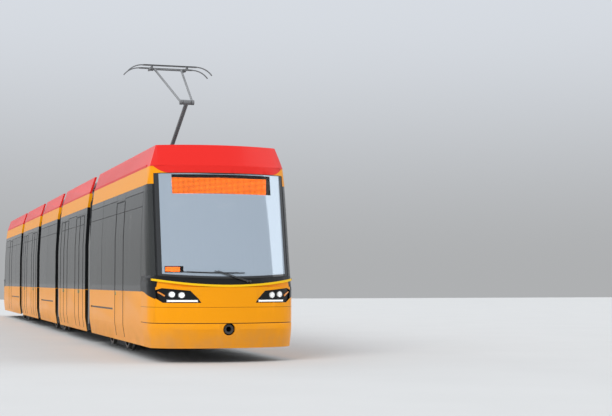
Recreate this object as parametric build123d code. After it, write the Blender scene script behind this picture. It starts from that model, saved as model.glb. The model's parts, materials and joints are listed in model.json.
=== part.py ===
from build123d import *
from math import asin, atan, cos, pi, radians, sin
import os

# Low-floor tram in five sections, hinged at four gangways, carried on three bogies.
# Millimetres. X points forwards, Y to the left, Z up from the tips of the wheel flanges.

# Track and wheels
gauge = 1435
flange_height = 25
tread_radius = 300
tyre_width = 110
flange_play = 12
axle_radius = 65
journal_radius = 60
journal_end = 985
wheelbase = 1800
running_gap = 0.3

# Length and hinges, from the middle of the tram
inner_pivot = 2250
section_length = 5400
end_length = 7400
outer_pivot = inner_pivot + section_length
half_length = outer_pivot + end_length
pivot_to_shell = 350
nose_depth = 1150

# Body cross-section: height and half width
skirt_z = 225
bumper_z = 520
lip_z = 1170
shoulder_z = 2000
glass_top_z = 2795
stripe_top_z = 3085
fairing_top_z = 3430
body_half_width = 1175
glass_half = 1135
levels = [
    (skirt_z, 1125),
    (bumper_z, 1170),
    (lip_z, body_half_width),
    (shoulder_z, body_half_width),
    (glass_top_z, glass_half),
    (stripe_top_z, 1095),
    (fairing_top_z, 985),
]

# Nose: a band's lower height, how far its tip lies back there, its upper height, and the tip there
nose_bands = [
    (skirt_z, 0, lip_z, 0),
    (lip_z, 25, stripe_top_z, 460),
    (stripe_top_z, 460, fairing_top_z, 690),
]
nose_radius = 2000
nose_reach = 700
skirt_back = 90
skirt_lean = -atan(skirt_back / (bumper_z - skirt_z))
wall_thickness = 75
wall_inner = body_half_width - wall_thickness

# Glass band
belt_z = 1095
pane_thickness = 8
pane_gap = 20
window_margin = 60
window_bottom = 1180
window_top = 2700
windscreen_bottom = 1300
windscreen_rise = 45
windscreen_top = 2960
windscreen_half = 1050
windscreen_margin = 70

# Doors, all on the right
door_bottom = 295
door_top = 2645
door_gap = 5
leaf_gap = 8
leaf_inner = 1125
leaf_frame = 75
leaf_edge = 12

# Floor and gangways
floor_top = 385
floor_bottom = 250
aisle_top = 475
aisle_thickness = 50
aisle_half = 560
ramp_length = 250
bay_margin = 440
bogie_bay = wheelbase / 2 + bay_margin
wheel_box_top = 725
wheel_box_skin = 30
disc_radius = 600
disc_thickness = 40
disc_gap = 6
bay_gap = 4
end_bogie_x = outer_pivot + disc_radius + disc_gap + bay_gap + bogie_bay
tongue_gap = 5
tongue_half = 170
tongue_height = 35
tongue_root = 60
pivot_pin_radius = 50
king_bottom = 300
post_inner = 650
post_depth = 50
header_bottom = 2420

# Roof
deck_thickness = 40
deck_top = stripe_top_z + deck_thickness
fairing_thickness = 45
ceiling_bottom = 2560
ceiling_thickness = 30
ceiling_half = 1000
header_half = 1015

# Cab
cab_length = 2600
partition_x = half_length - cab_length
partition_thickness = 40

# Bogie
side_beam_inner = 850
side_beam_outer = 990
kingpin_radius = 60

# Pantograph
pantograph_x = end_bogie_x + 550
lower_hinge_z = 3640
lower_arm = 1850
lower_angle = 26
upper_arm = 1950
upper_angle = 26
collector_half = 820

axle_z = flange_height + tread_radius
front_of_side = half_length - nose_depth


def block(x0, x1, y0, y1, z0, z1):
    """A box between two corners."""
    size = Box(x1 - x0, y1 - y0, z1 - z0)
    return Pos((x0 + x1) / 2, (y0 + y1) / 2, (z0 + z1) / 2) * size


def rod(start, end, radius):
    """A round bar between two points."""
    axis = Vector(*end) - Vector(*start)
    plane = Plane(origin=start, z_dir=axis)
    return extrude(plane * Circle(radius), axis.length)


def along_x(x0, x1, points):
    """A prism along X with an outline of (y, z) points."""
    face = make_face(Polyline(*points, close=True))
    return extrude(Plane.YZ.offset(x0) * face, x1 - x0, dir=(1, 0, 0))


def along_y(y0, y1, points):
    """A prism along Y with an outline of (x, z) points."""
    outline = [(x, y0, z) for x, z in points]
    face = make_face(Polyline(*outline, close=True))
    return extrude(face, y1 - y0, dir=(0, 1, 0))


def half_width(z):
    """Half the body's width at a height."""
    for (z0, w0), (z1, w1) in zip(levels, levels[1:]):
        if z <= z1:
            return w0 + (w1 - w0) * (z - z0) / (z1 - z0)
    return levels[-1][1]


def inner_width(z):
    """Half the width between the walls' inner faces."""
    if z <= shoulder_z:
        return wall_inner
    return half_width(z) - wall_thickness


def heights(z0, z1):
    """The heights of the outline's points between two heights."""
    return [z0] + [z for z, w in levels if z0 < z < z1] + [z1]


def side_strip(side, x0, x1, z0, z1, outset, inset):
    """A slice of the body side: outset and inset are measured inwards from the outline."""
    outer = [(side * (half_width(z) - outset), z) for z in heights(z0, z1)]
    inner = [(side * (half_width(z) - inset), z) for z in heights(z0, z1)]
    return along_x(x0, x1, outer + inner[::-1])


def side_wall(side, x0, x1, z0, z1):
    """The body side from its outline to its flat inner face."""
    outer = [(side * half_width(z), z) for z in heights(z0, z1)]
    inner = [(side * inner_width(z), z) for z in heights(z0, z1)]
    return along_x(x0, x1, outer + inner[::-1])


def cross_slice(x0, x1, z0, z1, margin):
    """A plate across the saloon, a margin inside the walls."""
    left = [(inner_width(z) - margin, z) for z in heights(z0, z1)]
    right = [(-y, z) for y, z in left]
    return along_x(x0, x1, left + right[::-1])


def nose_plan(lean, inset):
    """The nose seen along its lean, its tip at the origin: a front arc between two corner arcs."""
    front = nose_radius / cos(lean)
    depth = nose_reach * cos(lean)
    width = body_half_width
    corner = (front**2 - width**2 - (front - depth) ** 2) / (2 * (front - width))
    turn = asin((width - corner) / (front - corner))
    middle = (turn + pi / 2) / 2
    corner_x = (front - corner) * cos(turn) - front
    corner_y = (front - corner) * sin(turn)
    side = width - inset
    joint = ((front - inset) * cos(turn) - front, (front - inset) * sin(turn))
    bend = (corner_x + (corner - inset) * cos(middle), corner_y + (corner - inset) * sin(middle))
    back = -2 * nose_depth
    return make_face([
        Line((back, -side), (corner_x, -side)),
        ThreePointArc((corner_x, -side), (bend[0], -bend[1]), (joint[0], -joint[1])),
        ThreePointArc((joint[0], -joint[1]), (-inset, 0), joint),
        ThreePointArc(joint, bend, (corner_x, side)),
        Line((corner_x, side), (back, side)),
        Line((back, side), (back, -side)),
    ])


def nose_prism(low, set_back, lean, inset, z0, z1):
    """A stretch of the nose between two heights, its tip set back at the height low."""
    tilted = Plane(origin=(half_length - set_back, 0, low), x_dir=(cos(lean), 0, sin(lean)),
                   z_dir=(-sin(lean), 0, cos(lean)))
    prism = extrude(tilted * nose_plan(lean, inset), 2 * fairing_top_z, both=True)
    side = body_half_width + 50
    return prism & block(front_of_side, half_length + 50, -side, side, z0, z1)


def nose_solid(inset, z0=skirt_z, z1=fairing_top_z):
    """The nose as a solid: leaning bands inside the body's cross-section, drawn in at the skirt."""
    solid = None
    for low, low_back, high, high_back in nose_bands:
        a = max(low, z0)
        b = min(high, z1)
        if a < b:
            lean = atan((high_back - low_back) / (high - low))
            band = nose_prism(low, low_back, lean, inset, a, b)
            if low == skirt_z:
                band &= nose_prism(skirt_z, skirt_back, skirt_lean, inset, a, b)
            solid = band if solid is None else solid + band
    left = [(half_width(z) - inset, z) for z in heights(z0, z1)]
    right = [(-y, z) for y, z in left]
    return solid & along_x(front_of_side, half_length + 10, left + right[::-1])


def nose_skin(outset, inset, z0, z1):
    """A skin of the nose between two depths under its surface."""
    return nose_solid(outset, z0, z1) - nose_solid(inset, z0, z1)


def seen_from_front(lines):
    """A prism along X through the nose, whose outline of lines and arcs is drawn in Y and Z."""
    placed = Plane.YZ.offset(front_of_side + 250) * make_face(lines)
    return extrude(placed, nose_depth, dir=(1, 0, 0))


def write(shape, name):
    """One file for one piece."""
    export_step(shape, f"parts/{name}.step")


def mirrored(shape):
    """The same piece at the other end of the tram."""
    return mirror(shape, about=Plane.YZ)


# Side layout in the front half, from the rear to the front; the rear half mirrors it.
# A doorway's columns: where it starts, its width and its number of leaves
door_width = 1300
front_door_width = 900
door_from_end = 350
door_from_bogie = 310
b_shell = (inner_pivot + pivot_to_shell, outer_pivot - pivot_to_shell)
a_shell = (outer_pivot + pivot_to_shell, front_of_side)
c_shell = (pivot_to_shell - inner_pivot, inner_pivot - pivot_to_shell)
b_doors = [
    (b_shell[0] + door_from_end, door_width, 2),
    (b_shell[1] - door_from_end - door_width, door_width, 2),
]
a_doors = [(end_bogie_x + bogie_bay + door_from_bogie, front_door_width, 1)]


def panes_between(x0, x1, count):
    """Equal panes that fill a stretch of the side, with a gap between and beside them."""
    pitch = (x1 - x0) / count
    return [(x0 + i * pitch + pane_gap / 2, x0 + (i + 1) * pitch - pane_gap / 2) for i in range(count)]


def right_panes(section):
    """The panes of the door side of a section in the front half."""
    if section == "c":
        return panes_between(*c_shell, 2)
    if section == "b":
        first, second = b_doors
        return (
            panes_between(b_shell[0], first[0], 1)
            + panes_between(first[0] + door_width, second[0], 1)
            + panes_between(second[0] + door_width, b_shell[1], 1)
        )
    door = a_doors[0]
    return panes_between(a_shell[0], door[0], 2) + panes_between(door[0] + front_door_width, a_shell[1], 1)


def left_panes(section):
    """The panes of the side without doors."""
    if section == "c":
        return panes_between(*c_shell, 2)
    if section == "b":
        return panes_between(*b_shell, 3)
    return panes_between(a_shell[0], partition_x, 3) + panes_between(partition_x, a_shell[1], 1)


def doors_of(section):
    """The doors of a section in the front half."""
    return {"a": a_doors, "b": b_doors, "c": []}[section]


def shell_of(section):
    """Where a section's straight side begins and ends."""
    return {"a": a_shell, "b": b_shell, "c": c_shell}[section]


def bogies_of(section):
    """The bogie centre under a section."""
    return {"a": [end_bogie_x], "b": [], "c": [0]}[section]


def gangways_of(section):
    """The ends of a section that face a gangway: the end's place and the way it looks."""
    x0, x1 = shell_of(section)
    return {"a": [(x0, -1)], "b": [(x0, -1), (x1, 1)], "c": [(x0, -1), (x1, 1)]}[section]


def make_walls(section):
    """Two side walls with a recess for the glass, window holes, doorways and end posts."""
    x0, x1 = shell_of(section)
    walls = []
    for side in (-1, 1):
        wall = side_wall(side, x0, x1, skirt_z, stripe_top_z)
        wall -= side_strip(side, x0, x1, belt_z, glass_top_z, -1, pane_thickness)
        panes = right_panes(section) if side < 0 else left_panes(section)
        y0, y1 = sorted((side * (body_half_width + 10), side * (wall_inner - 40)))
        for p0, p1 in panes:
            if p1 - p0 > 4 * window_margin:
                wall -= block(p0 + window_margin, p1 - window_margin, y0, y1, window_bottom, window_top)
        if side < 0:
            for start, width, leaves in doors_of(section):
                wall -= block(start, start + width, y0, y1, door_bottom, door_top + door_gap)
        for centre in bogies_of(section):
            wall -= skirt_seams(side, centre)
        for end, way in gangways_of(section):
            wall += end_post(side, end, way)
        walls.append(wall)
    return Compound(walls)


slot_z = 765
slot_height = 30
slot_depth = 15
slot_half = bogie_bay + 60
seam_width = 8


def skirt_seams(side, centre):
    """The joints round the removable cover of a bogie, with a cooling slot along its top."""
    z0 = slot_z - slot_height / 2
    cut = side_strip(side, centre - slot_half, centre + slot_half, z0, z0 + slot_height, -5, slot_depth)
    for x in (centre - slot_half, centre + slot_half - seam_width):
        cut += side_strip(side, x, x + seam_width, skirt_z, z0 + 1, -5, slot_depth / 2)
    return cut


def end_post(side, end, way):
    """The post beside a gangway, from the floor to the header."""
    y0, y1 = sorted((side * post_inner, side * (wall_inner + 1)))
    x0, x1 = sorted((end, end - way * post_depth))
    return block(x0, x1, y0, y1, floor_top, header_bottom)


def make_glazing(section):
    """Panes bonded into the recess, over the windows, the door leaves and the door heads."""
    panes = []
    for side, places in ((-1, right_panes(section)), (1, left_panes(section))):
        for p0, p1 in places:
            panes.append(side_strip(side, p0, p1, belt_z, glass_top_z, 0, pane_thickness))
    for start, width, leaves in doors_of(section):
        head = door_top + door_gap + leaf_gap
        panes.append(side_strip(-1, start, start + width, head, glass_top_z, 0, pane_thickness))
        for l0, l1 in leaf_places(start, width, leaves):
            panes.append(leaf_pane(l0, l1, 0))
    return panes


def leaf_pane(l0, l1, outset):
    """The glass of one door leaf, or with an outset the cut it lies in."""
    return side_strip(-1, l0 + leaf_edge, l1 - leaf_edge, belt_z, door_top - leaf_edge, outset, pane_thickness)


def leaf_places(start, width, leaves):
    """The leaves of one doorway, with a running gap all round."""
    usable = width - 2 * door_gap - (leaves - 1) * leaf_gap
    leaf = usable / leaves
    return [(start + door_gap + i * (leaf + leaf_gap), start + door_gap + i * (leaf + leaf_gap) + leaf)
            for i in range(leaves)]


def make_doors(section):
    """Plug door leaves: a panel below the belt, and a frame round the glass above it."""
    leaves = []
    thickness = body_half_width - leaf_inner
    for start, width, count in doors_of(section):
        for l0, l1 in leaf_places(start, width, count):
            outer = [(-half_width(z), z) for z in heights(door_bottom, door_top)]
            inner = [(thickness - half_width(z), z) for z in heights(shoulder_z, door_top)]
            leaf = along_x(l0, l1, outer + inner[::-1] + [(-leaf_inner, door_bottom)])
            leaf -= leaf_pane(l0, l1, -1)
            leaf -= block(l0 + leaf_frame, l1 - leaf_frame, -body_half_width - 10, thickness - glass_half,
                          belt_z + leaf_frame, door_top - leaf_frame)
            leaves.append(leaf)
    return Compound(leaves)


def make_floor(section):
    """The underframe and floor, raised over a bogie, with its half of each gangway."""
    x0, x1 = shell_of(section)
    floor = block(x0, x1, -wall_inner, wall_inner, floor_bottom, floor_top)
    for centre in bogies_of(section):
        floor = raise_over_bogie(floor, centre)
    for end, way in gangways_of(section):
        pivot = end + way * pivot_to_shell
        if section == "c" or way > 0:
            floor += gangway_disc(end, pivot, way)
        else:
            floor = gangway_socket(floor, end, pivot, way)
    if section == "a":
        floor += nose_solid(wall_thickness, floor_bottom, floor_top)
    return floor


def raise_over_bogie(floor, centre):
    """Wheel boxes along both sides, with an aisle between them that ramps up at each end."""
    b0 = centre - bogie_bay
    b1 = centre + bogie_bay
    floor -= block(b0, b1, -wall_inner - 1, wall_inner + 1, floor_bottom - 1, floor_top + 1)
    underside = aisle_top - aisle_thickness
    top = [(b0, floor_top), (b0 + ramp_length, aisle_top), (b1 - ramp_length, aisle_top), (b1, floor_top)]
    under = [(x, z - aisle_thickness) for x, z in top]
    floor += along_y(-aisle_half, aisle_half, top + under[::-1])
    return floor + rod((centre, 0, king_bottom), (centre, 0, underside), kingpin_radius)


def wheel_boxes(centre):
    """The covers over the wheels, beside the aisle, open below and towards the body side."""
    b0 = centre - bogie_bay
    b1 = centre + bogie_bay
    underside = aisle_top - aisle_thickness
    boxes = []
    for side in (-1, 1):
        y0, y1 = sorted((side * aisle_half, side * wall_inner))
        box = block(b0, b1, y0, y1, floor_bottom, wheel_box_top)
        hollow_y = sorted((side * (aisle_half + wheel_box_skin), side * (wall_inner + 1)))
        box -= block(b0 + wheel_box_skin, b1 - wheel_box_skin, *hollow_y,
                     floor_bottom - 1, wheel_box_top - wheel_box_skin)
        box -= block(b0 + wheel_box_skin, b1 - wheel_box_skin, y0 - 1, y1 + 1, floor_bottom - 1, underside)
        boxes.append(box)
    return boxes


def tongue_base(end, way, length, low):
    """The root of a gangway's tongue or eye, which overlaps the floor that carries it."""
    x0, x1 = sorted((end - way * tongue_root, end + way * length))
    return block(x0, x1, -tongue_half, tongue_half, low, low + tongue_height)


def gangway_disc(end, pivot, way):
    """The floor disc, with the tongue and pin that carry the next section."""
    disc = Pos(pivot, 0, floor_top - disc_thickness / 2) * Cylinder(disc_radius, disc_thickness)
    low = floor_top - disc_thickness - tongue_height
    tongue = tongue_base(end, way, pivot_to_shell + tongue_half, low)
    pin_bottom = low - tongue_gap - tongue_height
    return disc + tongue + rod((pivot, 0, pin_bottom), (pivot, 0, low + 1), pivot_pin_radius)


def gangway_socket(floor, end, pivot, way):
    """The other half: clear of the disc, with an eye round the pin."""
    clear = floor_top - disc_thickness - tongue_gap
    floor -= rod((pivot, 0, clear), (pivot, 0, floor_top + 1), disc_radius + disc_gap)
    low = clear - 2 * tongue_height
    eye = tongue_base(end, way, pivot_to_shell, low)
    eye += rod((pivot, 0, low), (pivot, 0, low + tongue_height), tongue_half)
    eye -= rod((pivot, 0, low - 1), (pivot, 0, clear), pivot_pin_radius + running_gap)
    return floor + eye


def make_roof(section, has_cab=True):
    """Deck, ceiling and side fairings, with a header over each gangway and the cap at the nose."""
    x0, x1 = shell_of(section)
    edge = half_width(stripe_top_z)
    roof = block(x0, x1, -edge, edge, stripe_top_z, deck_top)
    for side in (-1, 1):
        roof += side_strip(side, x0, x1, stripe_top_z, fairing_top_z, 0, fairing_thickness)
    last = partition_x if section == "a" and has_cab else x1
    ceiling_top = ceiling_bottom + ceiling_thickness
    roof += block(x0, last, -ceiling_half, ceiling_half, ceiling_bottom, ceiling_top)
    for end, way in gangways_of(section):
        h0, h1 = sorted((end, end - way * post_depth))
        roof += block(h0, h1, -header_half, header_half, header_bottom, stripe_top_z + 1)
    if section == "a":
        roof += block(last - partition_thickness, last, -header_half, header_half, ceiling_bottom, stripe_top_z + 1)
        roof += roof_cap()
    if section == "a" and not has_cab:
        roof += nose_solid(wall_thickness, ceiling_bottom, ceiling_top)
    return roof


def roof_cap():
    """The front end of the roof: a rounded rim, its deck and its lid."""
    rim = nose_skin(0, fairing_thickness, stripe_top_z, fairing_top_z)
    deck = nose_solid(fairing_thickness - 1, stripe_top_z, deck_top)
    lid = nose_solid(fairing_thickness - 1, fairing_top_z - deck_thickness, fairing_top_z)
    return rim + deck + lid


# Headlamp pocket: outline in Y and Z on the left, and its depth; the strip and the round lamps in it
pocket_outline = [(430, 928), (985, 928), (1065, 985), (1085, 1120), (1000, 1150), (590, 1110), (470, 990)]
pocket_depth = 25
strip_inner = 480
strip_outer = 930
strip_bottom = 936
strip_height = 38
lamp_radius = 48
lamp_places = [(720, 1045), (860, 1055)]
lip_thickness = 32
lip_rise = 110
lip_outset = 8
lip_depth = 45
groove_z = 605
groove_height = 12
groove_depth = 8
tow_z = 520
tow_radius = 42
tow_outer = 75
tow_hole = 95
tow_reach = 40
tow_length = 300


def bowed(z, rise, half, thickness):
    """A strip across the nose that is lowest in the middle: its outline in Y and Z."""
    top = z + thickness
    return [
        ThreePointArc((-half, z + rise), (0, z), (half, z + rise)),
        Line((half, z + rise), (half, top + rise)),
        ThreePointArc((half, top + rise), (0, top), (-half, top + rise)),
        Line((-half, top + rise), (-half, z + rise)),
    ]


def windscreen_region(margin):
    """The windscreen's outline, with a bowed lower edge."""
    half = windscreen_half - margin
    low = windscreen_bottom + margin
    side = low + windscreen_rise
    high = windscreen_top - margin
    return seen_from_front([
        ThreePointArc((-half, side), (0, low), (half, side)),
        Line((half, side), (half, high)),
        Line((half, high), (-half, high)),
        Line((-half, high), (-half, side)),
    ])


def corner_region(side, margin):
    """The outline of the pane at a corner, from beside the windscreen to the body side."""
    y0, y1 = sorted((side * (windscreen_half + pane_gap + margin), side * (body_half_width + 20)))
    low = windscreen_bottom + windscreen_rise + margin
    return block(front_of_side + pane_gap / 2 + margin, half_length, y0, y1, low, glass_top_z - margin)


def lamp_pocket(side, outset):
    """The recess of one headlamp, as a skin of the nose."""
    outline = make_face(Polyline(*[(side * y, z) for y, z in pocket_outline], close=True))
    prism = extrude(Plane.YZ.offset(front_of_side + 250) * outline, nose_depth, dir=(1, 0, 0))
    low = strip_bottom - 50
    high = lip_z - 5
    return nose_skin(outset, pocket_depth, low, high) & prism


def make_lamps():
    """In each pocket a light strip along the bottom and two round lamps above it."""
    skin = nose_skin(3, pocket_depth, strip_bottom - 50, lip_z - 5)
    lamps = []
    for side in (-1, 1):
        y0, y1 = sorted((side * strip_inner, side * strip_outer))
        lamps.append(skin & block(front_of_side + 250, half_length + 50, y0, y1,
                                  strip_bottom, strip_bottom + strip_height))
        for y, z in lamp_places:
            drum = rod((half_length - 600, side * y, z), (half_length + 50, side * y, z), lamp_radius)
            lamps.append(skin & drum)
    return lamps


def make_lip():
    """The ridge under the windscreen, lowest in the middle, that stands out from the nose."""
    z1 = lip_z + lip_rise + 2 * lip_thickness
    z0 = lip_z - 20
    ridge = nose_prism(lip_z, 0, 0, -lip_outset, z0, z1) - nose_prism(lip_z, 0, 0, lip_depth, z0, z1)
    return ridge & seen_from_front(bowed(lip_z, lip_rise, body_half_width + 20, lip_thickness))


def make_front_shell():
    """The moulded nose: a ring from the skirt to the roof, with its window and lamp openings."""
    tow_opening = rod((half_length - nose_reach, 0, tow_z), (half_length + 50, 0, tow_z), tow_hole)
    shell = nose_skin(0, wall_thickness, skirt_z, stripe_top_z) - tow_opening
    recess = nose_skin(-1, pane_thickness, windscreen_bottom, windscreen_top + 1)
    shell -= recess & windscreen_region(0)
    shell -= windscreen_region(windscreen_margin)
    for side in (-1, 1):
        shell -= recess & corner_region(side, 0)
        shell -= corner_region(side, window_margin)
        shell -= lamp_pocket(side, -1)
    shell -= nose_skin(-1, groove_depth, groove_z, groove_z + groove_height)
    return shell + make_lip()


def make_nose_glass():
    """The windscreen and the two corner panes."""
    skin = nose_skin(0, pane_thickness, windscreen_bottom, windscreen_top)
    return [skin & windscreen_region(0)] + [skin & corner_region(side, 0) for side in (-1, 1)]


def tow_socket():
    """The socket for a tow bar, on the end of the underframe."""
    end = half_length - tow_reach
    start = end - tow_length
    saddle = block(start, end - 2 * tow_outer, -tow_outer, tow_outer, floor_top, tow_z)
    socket = rod((start, 0, tow_z), (end, 0, tow_z), tow_outer) + saddle
    return socket - rod((start - tow_outer, 0, tow_z), (end + 1, 0, tow_z), tow_radius)


# Passenger seats; a row's columns: side, place of the back, way the seat looks, height of its base
back_gap = 40
seat_pitch = 800
seat_from_door = 170
lounge_start = partition_x + 320
bogie_seats = [
    (side, end * (bogie_bay - back_gap), -end, wheel_box_top) for side in (-1, 1) for end in (-1, 1)
] + [
    (side, end * back_gap, end, wheel_box_top) for side in (-1, 1) for end in (-1, 1)
]
door_end = b_doors[0][0] + door_width
next_door = b_doors[1][0]
seat_rows = {
    "a": [(side, end_bogie_x + x, way, base) for side, x, way, base in bogie_seats]
         + [(1, partition_x - 150, -1, floor_top)],
    "b": [(-1, door_end + seat_from_door, 1, floor_top), (-1, next_door - seat_from_door, -1, floor_top)]
         + [(1, b_shell[0] + 250 + i * seat_pitch, 1, floor_top) for i in range(5)],
    "c": bogie_seats,
}
lounge_rows = [(side, lounge_start + i * seat_pitch, 1, floor_top) for side in (-1, 1) for i in range(2)]
seat_centre = 850
seat_half = 215
pan_height = 430
pan_length = 440
pan_thickness = 50
back_height = 900
back_lean = 60
back_thickness = 40
pedestal = (60, 260)
pole_radius = 17
pole_y = 575
pole_places = {
    "a": [a_doors[0][0] - 70, partition_x - 100],
    "b": [door_end + 90, next_door - 90],
    "c": [c_shell[0] + 150, c_shell[1] - 150],
}


def seat(side, back_x, way, base):
    """One seat: a pedestal, a pan and a back that leans, bent from one sheet with a round corner."""
    corner = 2 * back_thickness
    low = pan_height - pan_thickness
    profile = [
        (pedestal[0], 0), (pedestal[0], low), (0, low), (-back_lean, back_height),
        (back_thickness - back_lean, back_height), (back_thickness - 5, pan_height + corner),
        (back_thickness + corner, pan_height), (pan_length, pan_height), (pan_length, low),
        (pedestal[1], low), (pedestal[1], 0),
    ]
    points = [(back_x + way * x, base + z) for x, z in profile]
    y0, y1 = sorted((side * (seat_centre - seat_half), side * (seat_centre + seat_half)))
    return along_y(y0, y1, points)


def make_seats(section, extra_rows=()):
    """The seats and the upright grab poles of a section."""
    pieces = [seat(*row) for row in seat_rows[section] + list(extra_rows)]
    for x in pole_places[section]:
        for side in (-1, 1):
            y = side * pole_y
            pieces.append(rod((x, y, floor_top), (x, y, ceiling_bottom), pole_radius))
    return pieces


# Cab: the desk's front edge and top, the driver's seat, and the display box behind the windscreen
desk_x = half_length - 650
desk_depth = 650
desk_half = 900
desk_edge_z = 1000
desk_top_z = 1130
knee_room = 350
driver_x = half_length - 2050
driver_half = 240
driver_pan_z = 880
driver_back_z = 1600
driver_pan_length = 480
display_x = half_length - 820
display_depth = 100
display_half = 800
display_z = 2600
display_height = 350
bracket_depth = 40


def make_desk():
    """The driver's desk, with a hood over its front and room for the knees."""
    rear = desk_x - desk_depth
    profile = [(rear, floor_top), (rear, desk_edge_z), (rear + 100, desk_top_z), (desk_x - 100, desk_top_z),
               (desk_x, desk_edge_z - 100), (desk_x, floor_top)]
    desk = along_y(-desk_half, desk_half, profile)
    return desk - block(rear - 1, rear + desk_depth / 2, -knee_room, knee_room, floor_top - 1, desk_edge_z - 50)


def make_driver_seat():
    """The driver's seat on its pedestal."""
    front = driver_x + driver_pan_length
    foot = driver_x + driver_pan_length / 2
    low = driver_pan_z - 100
    profile = [(driver_x, floor_top), (driver_x, low - 30), (driver_x - 140, driver_back_z),
               (driver_x - 40, driver_back_z), (driver_x + 80, driver_pan_z), (front, driver_pan_z),
               (front, low), (foot, low - 40), (foot, floor_top)]
    return along_y(-driver_half, driver_half, profile)


def make_cab():
    """The partition, the desk, the driver's seat and the display box behind the windscreen."""
    partition = cross_slice(partition_x, partition_x + partition_thickness, floor_top, ceiling_bottom, 0)
    box_top = display_z + display_height
    box = block(display_x, display_x + display_depth, -display_half, display_half, display_z, box_top)
    box += block(display_x, display_x + bracket_depth, -display_half, display_half, box_top - 10, stripe_top_z)
    return [partition, make_desk(), make_driver_seat(), box]


# Roof equipment; a box's columns: rear end, front end, half width, height, number of fan wells
roof_boxes = {
    "a": [
        (a_shell[0] + 150, pantograph_x - 700, 760, 300, 2),
        (front_of_side - 1200, front_of_side, 760, 290, 0),
    ],
    "b": [
        (b_shell[0] + 300, b_shell[0] + 1900, 800, 300, 0),
        (b_shell[1] - 2300, b_shell[1] - 400, 820, 320, 2),
    ],
    "c": [(c_shell[0] + 400, c_shell[1] - 400, 800, 310, 3)],
}
box_slope = (90, 60)
lid_seam_z = 150
lid_seam = 10
well_radius = 240
well_depth = 60
hub_radius = 60
louvre_pitch = 34
louvre_height = 14
louvre_depth = 20
louvre_length = 500
louvre_rows = 3


def make_roof_box(x0, x1, half, height, wells):
    """One closed box: sloped long edges, a lid seam, louvres in both sides and fans under its top."""
    top = deck_top + height
    slope_y, slope_z = box_slope
    outline = [(-half, deck_top), (-half, top - slope_z), (slope_y - half, top), (half - slope_y, top),
               (half, top - slope_z), (half, deck_top)]
    box = along_x(x0, x1, outline)
    for side in (-1, 1):
        y0, y1 = sorted((side * (half - lid_seam), side * (half + 1)))
        seam_z = deck_top + lid_seam_z
        box -= block(x0 - 1, x1 + 1, y0, y1, seam_z, seam_z + lid_seam)
        y0, y1 = sorted((side * (half - louvre_depth), side * (half + 1)))
        middle = (x0 + x1) / 2
        for i in range(louvre_rows):
            z = deck_top + louvre_pitch * (i + 1)
            box -= block(middle - louvre_length / 2, middle + louvre_length / 2, y0, y1, z, z + louvre_height)
    for i in range(wells):
        x = x0 + (x1 - x0) * (i + 0.5) / wells
        box -= rod((x, 0, top - well_depth), (x, 0, top + 1), well_radius)
        box += rod((x, 0, top - well_depth - 1), (x, 0, top - well_depth / 2), hub_radius)
    return box


def make_roof_gear(section):
    """The closed boxes on a section's roof deck."""
    return [make_roof_box(*row) for row in roof_boxes[section]]


# Gangway hood
fold_count = 7
fold_swell = 30
hood_half = 1050
hood_top = 3020
hood_bottom = 270
hood_thickness = 60
hood_corner = 200


def arch(half, top):
    """An upright opening with two round upper corners, in Y and Z."""
    corner = hood_corner
    bend = corner * (1 - cos(pi / 4))
    return make_face([
        Line((-half, hood_bottom), (-half, top - corner)),
        ThreePointArc((-half, top - corner), (bend - half, top - bend), (corner - half, top)),
        Line((corner - half, top), (half - corner, top)),
        ThreePointArc((half - corner, top), (half - bend, top - bend), (half, top - corner)),
        Line((half, top - corner), (half, hood_bottom)),
        Line((half, hood_bottom), (-half, hood_bottom)),
    ])


def make_bellows(pivot):
    """One pleated gangway hood, an arch from end wall to end wall."""
    start = pivot - pivot_to_shell + running_gap
    pitch = 2 * (pivot_to_shell - running_gap) / fold_count
    inner = arch(hood_half - hood_thickness, hood_top - hood_thickness)
    hood = None
    for i in range(fold_count):
        swell = fold_swell * (1 - i % 2)
        ring = Plane.YZ.offset(start + i * pitch) * (arch(hood_half + swell, hood_top + swell) - inner)
        fold = extrude(ring, pitch, dir=(1, 0, 0))
        hood = fold if hood is None else hood + fold
    return hood


# Bogie frame
beam_top = 520
beam_end_top = 440
beam_bottom = 330
box_bottom = 260
box_half = 130
crossbeam_x = 330
crossbeam_half = 80
frame_z0 = 250
frame_z1 = 400
drive_y = (230, 520)
drive_half = 620
drive_z = (170, 395)
brake_half = 480
brake_width = 70
brake_top = 130
brake_clear = 12
hanger_half = 30
spring_radius = 130
spring_gap = 7


def make_side_beam(centre, side):
    """A side beam: deep at the axle boxes, which have round ends, waisted between them, with its spring."""
    y0, y1 = sorted((side * side_beam_inner, side * side_beam_outer))
    half = wheelbase / 2
    profile = [
        (-half, beam_end_top), (-half + 2 * box_half, beam_top), (half - 2 * box_half, beam_top),
        (half, beam_end_top), (half, box_bottom), (half - box_half, box_bottom),
        (half - 2 * box_half, beam_bottom), (2 * box_half - half, beam_bottom),
        (box_half - half, box_bottom), (-half, box_bottom),
    ]
    beam = along_y(y0, y1, [(centre + x, z) for x, z in profile])
    for way in (-1, 1):
        x = centre + way * half
        beam += rod((x, y0, axle_z + 10), (x, y1, axle_z + 10), box_half)
    middle = (y0 + y1) / 2
    spring_top = wheel_box_top - wheel_box_skin - spring_gap
    return beam + rod((centre, middle, beam_top - 1), (centre, middle, spring_top), spring_radius)


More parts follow.
